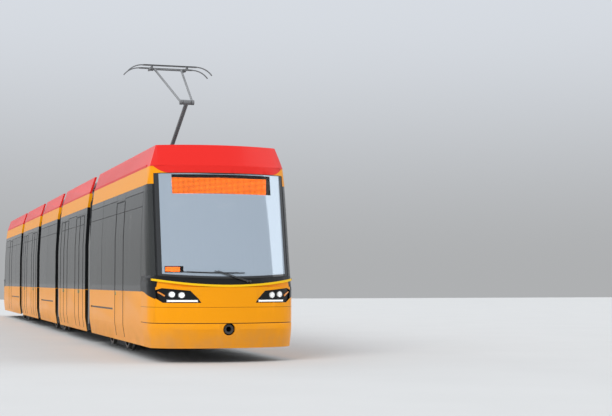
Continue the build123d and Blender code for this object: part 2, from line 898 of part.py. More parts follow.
def make_bogie(centre):
    """A frame outside the wheels: side beams with their springs, cross-beams, drives and rail brakes."""
    frame = make_side_beam(centre, -1) + make_side_beam(centre, 1)
    reach = side_beam_inner + 10
    for x in (centre - crossbeam_x, centre + crossbeam_x):
        frame += block(x - crossbeam_half, x + crossbeam_half, -reach, reach, frame_z0, frame_z1)
    frame += block(centre - crossbeam_x, centre + crossbeam_x, -box_half, box_half, frame_z0, frame_z1)
    for side in (-1, 1):
        y0, y1 = sorted((side * drive_y[0], side * drive_y[1]))
        frame += block(centre - drive_half, centre + drive_half, y0, y1, *drive_z)
        rail = side * gauge / 2
        b0, b1 = rail - brake_width / 2, rail + brake_width / 2
        frame += block(centre - brake_half, centre + brake_half, b0, b1, flange_height + brake_clear, brake_top)
        for x in (centre - crossbeam_x, centre + crossbeam_x):
            frame += block(x - hanger_half, x + hanger_half, b0, b1, brake_top - 10, frame_z0 + 10)
    frame -= rod((centre, 0, frame_z0 - 1), (centre, 0, frame_z1 + 1), kingpin_radius + running_gap)
    for x in (centre - wheelbase / 2, centre + wheelbase / 2):
        ends = (x, -side_beam_outer - 1, axle_z), (x, side_beam_outer + 1, axle_z)
        frame -= rod(*ends, journal_radius + running_gap)
    return frame


# Wheel, measured outwards from its back face
rim_depth = 55
flange_root = 36
flange_tip = 20
dish = 40


def make_wheelset(x):
    """An axle with its two wheels, turned in one piece, their webs sunk behind the rims."""
    back = gauge / 2 - flange_play
    face = back + tyre_width
    half = [
        (axle_radius, back),
        (tread_radius + flange_height, back),
        (tread_radius + flange_height, back + flange_tip),
        (tread_radius, back + flange_root),
        (tread_radius, face),
        (tread_radius - rim_depth, face),
        (tread_radius - rim_depth, face - dish),
        (journal_radius, face - dish),
        (journal_radius, journal_end),
        (0, journal_end),
    ]
    outline = [(r, -y) for r, y in half[::-1]] + half
    face_plan = make_face(Polyline(*[(x, y, axle_z - r) for r, y in outline], close=True))
    return revolve(face_plan, Axis((x, 0, axle_z), (0, 1, 0)))


# Pantograph, its joints seen from the side
hinge = Vector(pantograph_x, 0, lower_hinge_z)
knuckle = hinge + Vector(lower_arm * cos(radians(lower_angle)), 0, lower_arm * sin(radians(lower_angle)))
tip = knuckle + Vector(-upper_arm * cos(radians(upper_angle)), 0, upper_arm * sin(radians(upper_angle)))

pin_radius = 22
boss_radius = 45
boss_half = 180
base_rear = 350
base_front = 450
base_half = 380
base_bar = 30
base_drop = 110
ear_y = (190, 240)
ear_half = 50
insulator_inset = 60
# An insulator's outline: radius, and height as a share of the whole
insulator_sheds = [(55, 0), (55, 0.1), (42, 0.1), (42, 0.3), (78, 0.3), (78, 0.38), (42, 0.38), (42, 0.62),
                   (78, 0.62), (78, 0.7), (42, 0.7), (42, 1)]
lower_tube = 38
knee_half = 70
fork_y = (80, 130)
upper_root_y = 105
upper_end_y = 260
upper_tube = 20
head_shaft_radius = 18
head_shaft_half = 300
strip_x = 190
strip_half_width = 22
strip_half = 520
strip_thickness = 24
strip_lift = 55
horn_half = 10
horn_drop = 150
carrier_y = 340
carrier_half = 14
sleeve_radius = 34
sleeve_y = (285, 345)
shaft_stop = 301


def across(point, y0, y1, radius):
    """A round bar along Y at a joint of the collector."""
    return rod((point.X, y0, point.Z), (point.X, y1, point.Z), radius)


def insulator(x, y, z0, z1):
    """A turned insulator with two sheds."""
    points = [(0, z0)] + [(r, z0 + share * (z1 - z0)) for r, share in insulator_sheds] + [(0, z1)]
    face = make_face(Polyline(*[(x + r, y, z) for r, z in points], close=True))
    return revolve(face, Axis((x, y, 0), (0, 0, 1)))


def pantograph_base():
    """A frame on four insulators, with two ears round the lower arm's shaft."""
    x0 = hinge.X - base_rear
    x1 = hinge.X + base_front
    z0 = lower_hinge_z - base_drop - base_bar
    z1 = lower_hinge_z - base_drop + base_bar
    base = None
    for y in (-base_half, base_half):
        rail = block(x0, x1, y - base_bar, y + base_bar, z0, z1)
        base = rail if base is None else base + rail
    for x in (x0 + base_bar, x1 - base_bar, hinge.X):
        base += block(x - base_bar, x + base_bar, -base_half, base_half, z0, z1)
    for x in (x0 + insulator_inset, x1 - insulator_inset):
        for y in (-base_half, base_half):
            base += insulator(x, y, deck_top, z0 + 1)
    for side in (-1, 1):
        y0, y1 = sorted((side * ear_y[0], side * ear_y[1]))
        ear = block(hinge.X - ear_half, hinge.X + ear_half, y0, y1, z1 - 1, hinge.Z)
        ear += across(hinge, y0, y1, ear_half)
        base += ear - across(hinge, y0 - 1, y1 + 1, pin_radius + running_gap)
    return base


def pantograph_lower():
    """The lower arm: a cross shaft in the base's ears and a single arm with a bored knee."""
    shaft_half = ear_y[1] + 15
    arm = across(hinge, -shaft_half, shaft_half, pin_radius) + across(hinge, -boss_half, boss_half, boss_radius)
    arm += rod(tuple(hinge), tuple(knuckle), lower_tube)
    arm += across(knuckle, -knee_half, knee_half, boss_radius)
    return arm - across(knuckle, -knee_half - 1, knee_half + 1, pin_radius + running_gap)


def pantograph_upper():
    """The upper arm: two thin tubes from the knuckle's pin to the head's shaft."""
    arm = across(knuckle, -fork_y[1], fork_y[1], pin_radius)
    for side in (-1, 1):
        arm += across(knuckle, *sorted((side * fork_y[0], side * fork_y[1])), boss_radius)
        root = (knuckle.X, side * upper_root_y, knuckle.Z)
        arm += rod(root, (tip.X, side * upper_end_y, tip.Z), upper_tube)
    return arm + across(tip, -head_shaft_half, head_shaft_half, head_shaft_radius)


def horn(x, side, z):
    """A flat-sided horn that bends down in one arc from the end of a strip."""
    reach = collector_half - strip_half
    bend = (reach**2 + horn_drop**2) / (2 * horn_drop)
    turn = asin(reach / bend)

    def point(radius, angle):
        return (side * (strip_half + radius * sin(angle)), z - bend + radius * cos(angle))

    outer, inner = bend + horn_half, bend - horn_half
    root = side * (strip_half - horn_half)
    outline = make_face([
        Line((root, z - horn_half), (root, z + horn_half)),
        Line((root, z + horn_half), point(outer, 0)),
        ThreePointArc(point(outer, 0), point(outer, turn / 2), point(outer, turn)),
        Line(point(outer, turn), point(inner, turn)),
        ThreePointArc(point(inner, turn), point(inner, turn / 2), point(inner, 0)),
        Line(point(inner, 0), (root, z - horn_half)),
    ])
    return extrude(Plane.YZ.offset(x - horn_half) * outline, 2 * horn_half, dir=(1, 0, 0))


def pantograph_head():
    """Two collector strips on a frame, with horns that bend down at their ends."""
    z1 = tip.Z + strip_lift
    z0 = z1 - strip_thickness
    head = None
    for x in (tip.X - strip_x, tip.X + strip_x):
        bar = block(x - strip_half_width, x + strip_half_width, -strip_half, strip_half, z0, z1)
        head = bar if head is None else head + bar
        for side in (-1, 1):
            head += horn(x, side, (z0 + z1) / 2)
    for side in (-1, 1):
        y = side * carrier_y
        head += block(tip.X - strip_x, tip.X + strip_x, y - carrier_half, y + carrier_half,
                      tip.Z - carrier_half, z0 + 1)
        head += across(tip, *sorted((side * sleeve_y[0], side * sleeve_y[1])), sleeve_radius)
        bore = sorted((side * (sleeve_y[0] - 1), side * shaft_stop))
        head -= across(tip, *bore, head_shaft_radius + running_gap)
    return head


def solids_of(pieces):
    """Pieces as one compound of separate solids."""
    return Compound([solid for piece in pieces for solid in piece.solids()])


def write_pair(shape, word, front_name, rear_name):
    """A piece of a section in the front half, and the same piece mirrored in the rear half."""
    write(shape, f"{word}_{front_name}")
    if rear_name:
        write(mirrored(shape), f"{word}_{rear_name}")


def build_section(front_name, rear_name):
    """A section's walls, glass, doors, floor, roof and seats, and its mirror image's."""
    glazing = make_glazing(front_name)
    if front_name == "a":
        glazing += make_nose_glass()
    write_pair(make_walls(front_name), "walls", front_name, rear_name)
    write_pair(solids_of(glazing), "glazing", front_name, rear_name)
    write_pair(make_floor(front_name), "floor", front_name, rear_name)
    write_pair(solids_of(make_roof_gear(front_name)), "roof_gear", front_name, rear_name)
    if doors_of(front_name):
        write_pair(make_doors(front_name), "doors", front_name, rear_name)
    for centre in bogies_of(front_name):
        underframe = wheel_boxes(centre)
        if front_name == "a":
            underframe.append(tow_socket())
        write_pair(solids_of(underframe), "underframe", front_name, rear_name)
    if front_name == "a":
        write(make_roof("a"), "roof_a")
        write(mirrored(make_roof("a", has_cab=False)), "roof_e")
        write(solids_of(make_seats("a")), "seats_a")
        write(mirrored(solids_of(make_seats("a", lounge_rows))), "seats_e")
    else:
        write_pair(make_roof(front_name), "roof", front_name, rear_name)
        write_pair(solids_of(make_seats(front_name)), "seats", front_name, rear_name)


def main():
    """Every piece of the tram, one file each."""
    os.makedirs("parts", exist_ok=True)
    for front_name, rear_name in (("c", None), ("b", "d"), ("a", "e")):
        build_section(front_name, rear_name)
    write_pair(make_front_shell(), "end_shell", "a", "e")
    write_pair(solids_of(make_lamps()), "lamps", "a", "e")
    write(solids_of(make_cab()), "cab_a")
    for name, pivot in (("bc", inner_pivot), ("ab", outer_pivot), ("cd", -inner_pivot), ("de", -outer_pivot)):
        write(make_bellows(pivot), f"bellows_{name}")
    for name, centre in (("a", end_bogie_x), ("c", 0), ("e", -end_bogie_x)):
        write(make_bogie(centre), f"bogie_{name}")
        for place, way in (("front", 1), ("rear", -1)):
            write(make_wheelset(centre + way * wheelbase / 2), f"wheelset_{name}_{place}")
    write(pantograph_base(), "pantograph_base")
    write(pantograph_lower(), "pantograph_lower")
    write(pantograph_upper(), "pantograph_upper")
    write(pantograph_head(), "pantograph_head")


main()
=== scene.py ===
import json
from math import cos, pi, radians, sin

import bmesh
import bpy
from mathutils import Matrix, Vector
from mathutils.bvhtree import BVHTree

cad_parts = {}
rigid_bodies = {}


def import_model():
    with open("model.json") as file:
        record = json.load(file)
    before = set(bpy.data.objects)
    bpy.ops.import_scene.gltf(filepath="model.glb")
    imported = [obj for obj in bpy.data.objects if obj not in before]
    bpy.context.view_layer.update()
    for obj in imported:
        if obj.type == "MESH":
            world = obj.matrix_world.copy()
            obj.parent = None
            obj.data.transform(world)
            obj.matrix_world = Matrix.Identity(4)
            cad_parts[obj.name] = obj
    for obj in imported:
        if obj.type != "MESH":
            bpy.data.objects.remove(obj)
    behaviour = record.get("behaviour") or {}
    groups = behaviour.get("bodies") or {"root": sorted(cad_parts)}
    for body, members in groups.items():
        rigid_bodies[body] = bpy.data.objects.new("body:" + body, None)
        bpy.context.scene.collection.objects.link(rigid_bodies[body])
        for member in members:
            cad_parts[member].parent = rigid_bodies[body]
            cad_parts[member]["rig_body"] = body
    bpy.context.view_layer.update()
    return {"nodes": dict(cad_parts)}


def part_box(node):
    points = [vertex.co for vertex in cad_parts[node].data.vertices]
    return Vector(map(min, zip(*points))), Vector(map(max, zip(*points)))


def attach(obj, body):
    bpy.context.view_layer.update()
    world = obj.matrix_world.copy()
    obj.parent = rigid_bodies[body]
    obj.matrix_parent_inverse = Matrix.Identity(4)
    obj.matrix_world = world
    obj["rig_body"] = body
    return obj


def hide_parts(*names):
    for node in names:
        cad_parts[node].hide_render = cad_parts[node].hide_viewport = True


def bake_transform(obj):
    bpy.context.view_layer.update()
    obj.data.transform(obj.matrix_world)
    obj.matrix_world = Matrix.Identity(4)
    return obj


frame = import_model()
print("frame loaded:", len(frame["nodes"]), "nodes")

# Heights and places that several pieces share, read from the frame, in metres
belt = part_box("glazing_b")[0].z
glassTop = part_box("glazing_b")[1].z
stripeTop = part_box("walls_b")[1].z
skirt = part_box("walls_b")[0].z
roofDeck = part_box("roof_gear_b")[0].z
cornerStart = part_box("walls_a")[1].x
sections = "abcde"
ends = {"a": 1, "e": -1}    # sections with a moulded end, and the way each faces along X

shared = {
    "merge": 0.0001,    # a node's points this near are one
    "ahead": 16.0,      # where rays on the nose start
    "beside": 2.0,      # where rays on the sides start
    "hair": 0.001,      # paint reaches this far past an edge
}


def meshOf(*nodes):
    # these nodes' triangles, merged, as one bmesh
    bm = bmesh.new()
    for node in nodes:
        bm.from_mesh(frame["nodes"][node].data)
    bmesh.ops.remove_doubles(bm, verts=bm.verts, dist=shared["merge"])
    return bm


def surfaceOf(*nodes):
    bm = meshOf(*nodes)
    tree = BVHTree.FromBMesh(bm)
    bm.free()
    return tree


def islandsOf(node):
    # the node's separate solids: a list of their vertices' places
    bm = meshOf(node)
    left = set(bm.verts)
    found = []
    while left:
        edge = [left.pop()]
        island = []
        while edge:
            vertex = edge.pop()
            island.append(vertex.co.copy())
            for link in vertex.link_edges:
                other = link.other_vert(vertex)
                if other in left:
                    left.remove(other)
                    edge.append(other)
        found.append(island)
    bm.free()
    return sorted(found, key=lambda island: tuple(sum(island, Vector()) / len(island)))


def boxOf(points):
    low = Vector([min(p[i] for p in points) for i in range(3)])
    high = Vector([max(p[i] for p in points) for i in range(3)])
    return low, high


nose = surfaceOf("end_shell_a", "glazing_a")
lampFronts = surfaceOf("lamps_a")
sides = {s: surfaceOf(*[n for n in (f"walls_{s}", f"glazing_{s}", f"doors_{s}") if n in frame["nodes"]])
         for s in sections}


def noseAt(y, z, proud=0.0, tree=None):
    # the front surface at a width and a height
    hit = (tree or nose).ray_cast(Vector((shared["ahead"], y, z)), Vector((-1, 0, 0)))
    return Vector((hit[0].x + proud, y, z))


def sideAt(section, x, z, side):
    # the side's surface at a length and a height, or None where there is a hole
    start = Vector((x, side * shared["beside"], z))
    return sides[section].ray_cast(start, Vector((0, -side, 0)))[0]


# Shader maths: operators on a Value add Math nodes
class Value:
    def __init__(self, nodes, socket):
        self.nodes = nodes
        self.socket = socket

    def maths(self, operation, *terms):
        return self.nodes.value("ShaderNodeMath", {"operation": operation}, dict(enumerate(terms)))

    def __add__(self, other):
        return self.maths("ADD", self, other)

    def __radd__(self, other):
        return self.maths("ADD", other, self)

    def __sub__(self, other):
        return self.maths("SUBTRACT", self, other)

    def __rsub__(self, other):
        return self.maths("SUBTRACT", other, self)

    def __mul__(self, other):
        return self.maths("MULTIPLY", self, other)

    def __rmul__(self, other):
        return self.maths("MULTIPLY", other, self)

    def __abs__(self):
        return self.maths("ABSOLUTE", self)

    def __mod__(self, period):
        return self.maths("FLOORED_MODULO", self, period)

    def least(self, other):
        return self.maths("MINIMUM", self, other)

    def most(self, other):
        return self.maths("MAXIMUM", self, other)

    def above(self, level, soft=0.0005):
        # 0 below the level, 1 above it
        sockets = {"Value": self, "From Min": level, "From Max": level + soft}
        return self.nodes.value("ShaderNodeMapRange", {"interpolation_type": "SMOOTHSTEP"}, sockets)

    def between(self, low, high, soft=0.0005):
        return self.above(low, soft) * (1 - self.above(high, soft))


class Nodes:
    def __init__(self, tree):
        self.tree = tree

    def node(self, kind, settings=None, sockets=None):
        made = self.tree.nodes.new(kind)
        for key, value in (settings or {}).items():
            setattr(made, key, value)
        for key, value in (sockets or {}).items():
            self.feed(made.inputs[key], value)
        return made

    def feed(self, socket, value):
        if isinstance(value, Value):
            value = value.socket
        if isinstance(value, bpy.types.NodeSocket):
            self.tree.links.new(value, socket)
        elif hasattr(socket.default_value, "__len__") and len(value) == 3 and len(socket.default_value) == 4:
            socket.default_value = (*value, 1)
        else:
            socket.default_value = value

    def value(self, kind, settings=None, sockets=None, output=0):
        return Value(self, self.node(kind, settings, sockets).outputs[output])

    def axes(self, coordinates="Object"):
        place = self.node("ShaderNodeTexCoord").outputs[coordinates]
        split = self.node("ShaderNodeSeparateXYZ", None, {"Vector": place})
        return [Value(self, split.outputs[i]) for i in range(3)]

    def noise(self, scale, detail=3.0, stretch=(1, 1, 1)):
        place = self.node("ShaderNodeTexCoord").outputs["Object"]
        mapped = self.node("ShaderNodeMapping", None, {"Vector": place, "Scale": stretch})
        sockets = {"Vector": mapped.outputs[0], "Scale": scale, "Detail": detail}
        return self.value("ShaderNodeTexNoise", None, sockets)

    def mix(self, factor, first, second):
        # sockets 0, 6 and 7 are a colour mix's factor and colours, and output 2 its colour
        return self.node("ShaderNodeMix", {"data_type": "RGBA"}, {0: factor, 6: first, 7: second}).outputs[2]


class Finish(Nodes):
    def __init__(self, name, **constants):
        self.material = bpy.data.materials.new(name)
        self.material.use_nodes = True
        super().__init__(self.material.node_tree)
        self.shader = self.tree.nodes["Principled BSDF"]
        for key, value in constants.items():
            self.paint(key.replace("_", " "), value)

    def paint(self, socket, value):
        self.feed(self.shader.inputs[socket], value)

    def bump(self, height, strength, distance):
        sockets = {"Height": height, "Strength": strength, "Distance": distance}
        self.paint("Normal", self.node("ShaderNodeBump", None, sockets).outputs[0])


# Paint, sheet by sheet
paintColours = {
    "yellow": (0.95, 0.350, 0.002),
    # painted highlight along the top of the front lip
    "lipHighlight": (1.0, 0.60, 0.010),
    "red": (0.80, 0.024, 0.018),
    "black": (0.010, 0.011, 0.012),
    "lining": (0.42, 0.43, 0.43),
    "deck": (0.20, 0.205, 0.21),
    "dust": (0.30, 0.25, 0.19),
    # painted shade: a dark line along the front's crease
    "creaseShadow": (0.30, 0.085, 0.001),
    # painted shade for the insides of recesses and grooves
    "gap": (0.020, 0.014, 0.008),
}
# Gloss, waves and low dust. A noise is its scale, detail and stretch
paintWear = {
    "dirt": (2.2, 5.0, (0.6, 1, 1.6)),
    "streaks": (9.0, 2.0, (1, 1, 0.12)),
    "waves": (1.3, 1.0),
    "waveStrength": 0.05,
    "waveDepth": 0.02,
    "dustStart": 0.05,
    "dustRise": 0.55,
    "dirtShare": 0.7,
    "streakShare": 0.3,
    "clean": 0.30,
    "dustMost": 0.9,
    "rough": 0.30,
    "dustRough": 0.5,
    "dirtRough": 0.06,
    "coat": 0.10,
}


def paintFinish(name, colourAt):
    # gloss paint with faint waviness, and dust low down
    finish = Finish(name, Coat_Roughness=0.15, IOR=1.45, Specular_IOR_Level=0.15)
    w = paintWear
    x, y, z = finish.axes()
    dirt = finish.noise(*w["dirt"])
    streaks = finish.noise(*w["streaks"])
    low = 1 - z.above(skirt - w["dustStart"], w["dustRise"])
    grime = dirt * w["dirtShare"] + streaks * w["streakShare"] - w["clean"]
    dusty = (low * grime).most(0.0) * w["dustMost"]
    colour = colourAt(finish, x, y, z)
    finish.paint("Base Color", finish.mix(dusty, colour, paintColours["dust"]))
    finish.paint("Roughness", w["rough"] + dusty * w["dustRough"] + dirt * w["dirtRough"])
    finish.paint("Coat Weight", w["coat"] - dusty * w["coat"])
    finish.bump(finish.noise(*w["waves"]), w["waveStrength"], w["waveDepth"])
    return finish.material


# The side wall's inner face: upright to the shoulder, leaning in above it and more above the glass
sideWall = {
    "innerHalf": 1.104,
    "shoulder": 2.0,
    "lean": 0.0503,
    "topLean": 0.0876,
}
# The side's outline below the belt: two leaning faces, and how deep a joint in them starts
skirtLean = {
    "low": 0.225,
    "lowHalf": 1.125,
    "lowSlope": 0.1525,
    "high": 0.520,
    "highHalf": 1.170,
    "highSlope": 0.0077,
    "depth": 0.0045,
    "belowBelt": 0.01,
}


def sideColours(finish, x, y, z):
    # yellow outside, black behind the glass band, pale lining inside
    w = sideWall
    inner = w["innerHalf"] - (z - w["shoulder"]).most(0.0) * w["lean"]
    inner = inner - (z - glassTop).most(0.0) * w["topLean"]
    outside = (abs(y) - inner).above(0.0)
    band = z.between(belt - shared["hair"], glassTop + shared["hair"])
    skin = finish.mix(band, paintColours["yellow"], paintColours["black"])
    # the cooling slots and the joints of the skirts lie deeper than the painted face; their insides are
    # painted dark as shade
    s = skirtLean
    lower = (z - s["low"]) * s["lowSlope"] + s["lowHalf"]
    face = lower.least((z - s["high"]) * s["highSlope"] + s["highHalf"])
    shadedRecess = (face - s["depth"] - abs(y)).above(0.0) * (1 - z.above(belt - s["belowBelt"]))
    skin = finish.mix(shadedRecess, skin, paintColours["gap"])
    return finish.mix(outside, paintColours["lining"], skin)


# Painted lines of the moulded ends: heights and half widths in metres
endPaint = {
    "lipLow": 1.170,
    "lipRise": 0.077,
    "lipHeight": 0.033,
    "lipHalf": 1.125,
    "screenHalf": 1.053,
    "screenTop": 2.962,
    "redLow": 2.966,
    "redHalf": 0.84,
    "redDroop": 2.5,
    "sweepStart": 13.95,
    "sweepEnd": 14.66,
    "sweepDrop": 0.23,
    "creaseShadow": (0.852, 0.860),
    "groove": (0.6055, 0.6165),
    "lipFade": 0.02,
    "creaseFade": 0.004,
    "creaseShade": 0.8,
    "cover": 0.002,     # black reaches this far past the panes
}
# The black mask round the lamps, as half widths and heights
lampMask = {
    # each upper edge: a width, the height there, and the slope from it
    "upper": [(0.43, 0.928, 1.55), (0.47, 0.990, 1.0), (0.59, 1.112, 0.098), (1.0, 1.152, -0.353)],
    "lower": (0.926, 0.985, 0.7125),    # height, the width where it turns up, the slope there
    "outer": (1.067, 0.985, 0.148),     # width, the height where it leans out, the slope there
    "inner": 0.42,
    "past": 0.02,
}


def endColours(finish, x, y, z):
    p = endPaint
    side = abs(y)
    lipLow = y * y * p["lipRise"] + p["lipLow"]
    overLip = z - lipLow
    # the lip's top band is painted a lighter yellow as a highlight
    lipHighlightBand = overLip.between(-shared["hair"], p["lipHeight"]) * (1 - side.above(p["lipHalf"], p["lipFade"]))
    screen = 1 - side.above(p["screenHalf"])
    blackTop = glassTop + p["cover"] + screen * (p["screenTop"] - glassTop)
    black = overLip.above(p["lipHeight"]) * (1 - (z - blackTop).above(0.0))
    droop = (side - p["redHalf"]).most(0.0)
    red = (z - (droop * droop * p["redDroop"] + p["redLow"])).above(0.0)
    # the black of the corner panes sweeps down into the lamp mask
    back = (abs(x) - p["sweepStart"]).most(0.0)
    sweep = belt + p["cover"] - back * back * p["sweepDrop"]
    corner = (1 - abs(x).above(p["sweepEnd"])) * (z - sweep).above(0.0)
    corner = corner * (1 - (z - blackTop).above(0.0))
    m = lampMask
    edges = [(side - start) * slope + height for start, height, slope in m["upper"]]
    upper = edges[0].least(edges[1]).least(edges[2]).least(edges[3])
    low, bend, slope = m["lower"]
    lower = (side - bend).most(0.0) * slope + low
    start, level, lean = m["outer"]
    outer = (z - level).most(0.0) * lean + start
    mask = (upper - z).above(0.0) * (z - lower).above(0.0) * (outer - side).above(-m["past"])
    mask = mask * side.above(m["inner"])
    # a darker yellow line is painted along the crease as its shade
    creaseShadow = z.between(*p["creaseShadow"], p["creaseFade"])
    skin = finish.mix(creaseShadow * p["creaseShade"], paintColours["yellow"], paintColours["creaseShadow"])
    # the front's groove is painted dark as shade
    skin = finish.mix(z.between(*p["groove"]), skin, paintColours["gap"])
    skin = finish.mix(black.most(corner).most(mask), skin, paintColours["black"])
    skin = finish.mix(lipHighlightBand, skin, paintColours["lipHighlight"])
    return finish.mix(red, skin, paintColours["red"])


# The grey deck's half width at the top of the side walls, and how fast it narrows above them
deckEdge = {"half": 1.048, "lean": 0.319}


def roofColours(finish, x, y, z):
    # red fairings and caps, grey deck, pale ceiling
    outside = z.above(stripeTop - shared["hair"])
    inner = 1 - (abs(y) - deckEdge["half"] + (z - stripeTop) * deckEdge["lean"]).above(0.0)
    deck = inner * (1 - abs(x).above(cornerStart))
    top = finish.mix(deck, paintColours["red"], paintColours["deck"])
    return finish.mix(outside, paintColours["lining"], top)


# Grain of the finishes that aren't gloss paint
grainPlan = {
    "detail": 4.0,
    "roughSpread": 0.16,
    "depth": 0.002,
    "grimeScale": 30.0,
    "grimeShare": 0.35,
    "grime": (0.05, 0.045, 0.04),
}


def plainFinish(name, colour, rough, speckle=0.0, scale=60.0, bump=0.0, **constants):
    # one colour, with a darker speckle, uneven gloss and a fine relief
    g = grainPlan
    finish = Finish(name, **constants)
    grain = finish.noise(scale, g["detail"])
    dark = tuple(c * (1 - speckle) for c in colour)
    finish.paint("Base Color", finish.mix(grain, dark, colour))
    finish.paint("Roughness", rough - g["roughSpread"] / 2 + grain * g["roughSpread"])
    if bump:
        finish.bump(grain, bump, g["depth"])
    return finish.material


# Glass: printed black borders, see-through middles and a painted sky reflection on the windscreen, heights
# and half widths in metres
glassPrint = {
    "sideLow": 1.185,
    "sideHigh": 2.695,
    "screenLow": 1.33,
    "screenHigh": 2.938,
    "screenHalf": 0.985,
    "screenStart": 14.25,
    "displayLow": 2.630,
    "displayHalf": 0.80,
    "numberAcross": (-0.95, -0.68),
    "numberUp": (1.392, 1.492),
    "printed": (0.008, 0.009, 0.010),
    "tinted": (0.012, 0.014, 0.012),
    # the windscreen's pale blue is a painted reflection of the sky
    "screen": (0.50, 0.58, 0.66),
    "frontHalf": 1.06,
    "bow": 0.04,
    "fade": 0.012,
    "clearness": 0.16,
    "displayClearness": 0.68,
    "mirror": 0.5,
    "rough": 0.03,
    "smears": (1.6, 4.0, (1, 1, 0.5)),
    "smearRough": 0.06,
    "waves": (0.8, 0.0),
    "waveStrength": 0.03,
    "waveDepth": 0.02,
}


def glassFinish(name):
    finish = Finish(name, IOR=1.55, Specular_IOR_Level=0.7)
    p = glassPrint
    x, y, z = finish.axes()
    front = abs(x).above(p["screenStart"]) * (1 - abs(y).above(p["frontHalf"]))
    bow = y * y * p["bow"]
    screenClear = (z - bow).between(p["screenLow"], p["screenHigh"], p["fade"])
    screenClear = screenClear * (1 - abs(y).above(p["screenHalf"]))
    sideClear = z.between(p["sideLow"], p["sideHigh"], p["fade"])
    clear = front * screenClear + (1 - front) * sideClear
    display = z.between(p["displayLow"], p["screenHigh"]) * (1 - abs(y).above(p["displayHalf"]))
    display = display.most(y.between(*p["numberAcross"]) * z.between(*p["numberUp"]))
    display = display * x.above(p["screenStart"]) * front
    finish.paint("Alpha", 1 - clear * p["clearness"] - display * p["displayClearness"])
    finish.paint("Metallic", front * screenClear * (1 - display) * p["mirror"])
    # the windscreen's colour is a painted sky reflection, the side panes' a dark tint
    glass = finish.mix(front * (1 - display), p["tinted"], p["screen"])
    finish.paint("Base Color", finish.mix(clear, p["printed"], glass))
    finish.paint("Roughness", p["rough"] + finish.noise(*p["smears"]) * p["smearRough"])
    finish.bump(finish.noise(*p["waves"]), p["waveStrength"], p["waveDepth"])
    return finish.material


# Pieces in two colours: where each colour starts, and the two colours
seatTones = {"aisleHalf": 0.62, "shell": (0.055, 0.058, 0.066), "pole": (0.85, 0.42, 0.02)}
baseTones = {"frameLow": 3.498, "glaze": (0.10, 0.030, 0.014), "frame": (0.24, 0.245, 0.25)}
headTones = {"stripLow": 5.345, "stripHalf": 0.5, "frame": (0.20, 0.205, 0.21),
             "carbon": (0.015, 0.015, 0.016)}
wheelTones = {"tread": (0.66, 0.74), "fade": 0.01, "web": (0.16, 0.15, 0.14), "worn": (0.42, 0.40, 0.38)}


def seatColours(finish, x, y, z):
    # yellow poles in the aisle, dark grey seat shells
    return finish.mix(1 - abs(y).above(seatTones["aisleHalf"]), seatTones["shell"], seatTones["pole"])


def baseColours(finish, x, y, z):
    # brown glazed insulators under a grey frame
    return finish.mix(z.above(baseTones["frameLow"]), baseTones["glaze"], baseTones["frame"])


def headColours(finish, x, y, z):
    # black carbon strips on a grey head
    strip = z.above(headTones["stripLow"]) * (1 - abs(y).above(headTones["stripHalf"]))
    return finish.mix(strip, headTones["frame"], headTones["carbon"])


def wheelColours(finish, x, y, z):
    # bright tread and flange, grey web
    bright = abs(y).between(*wheelTones["tread"], wheelTones["fade"])
    return finish.mix(bright, wheelTones["web"], wheelTones["worn"])


def mappedFinish(name, colourAt, rough, **constants):
    # colours by place, under patchy grime
    g = grainPlan
    finish = Finish(name, **constants)
    x, y, z = finish.axes()
    grain = finish.noise(g["grimeScale"], g["detail"])
    colour = colourAt(finish, x, y, z)
    finish.paint("Base Color", finish.mix(grain * g["grimeShare"], colour, g["grime"]))
    finish.paint("Roughness", rough - g["roughSpread"] / 2 + grain * g["roughSpread"])
    return finish.material


# Lit dots: sizes as shares of the pitch. The shift puts every place above zero
ledPlan = {
    "shift": 4.0,
    "dot": 0.34,
    "soft": 0.16,
    "dimmest": 0.75,
    "patches": (3.0, 2.0),
    "uneven": 0.5,
    "board": (0.012, 0.010, 0.008),
    "unlit": (0.0, 0.0, 0.0),
}


def ledFinish(name, pitch, colour, level):
    # a matrix of round lit dots on a black board, in Y and Z
    p = ledPlan
    finish = Finish(name, Base_Color=p["board"], Roughness=0.5)
    x, y, z = finish.axes()
    across = (y + p["shift"]) % pitch - pitch / 2
    up = z % pitch - pitch / 2
    far = across * across + up * up
    dot = 1 - far.above((pitch * p["dot"]) ** 2, (pitch * p["soft"]) ** 2)
    uneven = p["dimmest"] + finish.noise(*p["patches"]) * p["uneven"]
    finish.paint("Emission Color", finish.mix(dot * uneven, p["unlit"], colour))
    finish.paint("Emission Strength", level)
    return finish.material


# Woven cloth. The shifts put every place above zero
clothPlan = {
    "thread": 0.004,
    "shift": (40.0, 4.0),
    "detail": 3.0,
    "speckle": (0.52, 1.1, 0.05),
    "rough": 0.8,
    "roughSpread": 0.1,
    "relief": 200.0,
    "strength": 0.3,
    "depth": 0.001,
}


def fabricFinish(name, colour, second, scale):
    # two crossed threads and a speckled colour
    c = clothPlan
    finish = Finish(name, Sheen_Weight=0.3, Sheen_Roughness=0.5)
    x, y, z = finish.axes()
    along = abs((x + c["shift"][0]) % c["thread"] - c["thread"] / 2)
    across = abs((y + c["shift"][1]) % c["thread"] - c["thread"] / 2)
    speckle = finish.noise(scale, c["detail"])
    finish.paint("Base Color", finish.mix(speckle.between(*c["speckle"]), colour, second))
    finish.paint("Roughness", c["rough"] + speckle * c["roughSpread"])
    finish.bump((along + across) * c["relief"], c["strength"], c["depth"])
    return finish.material


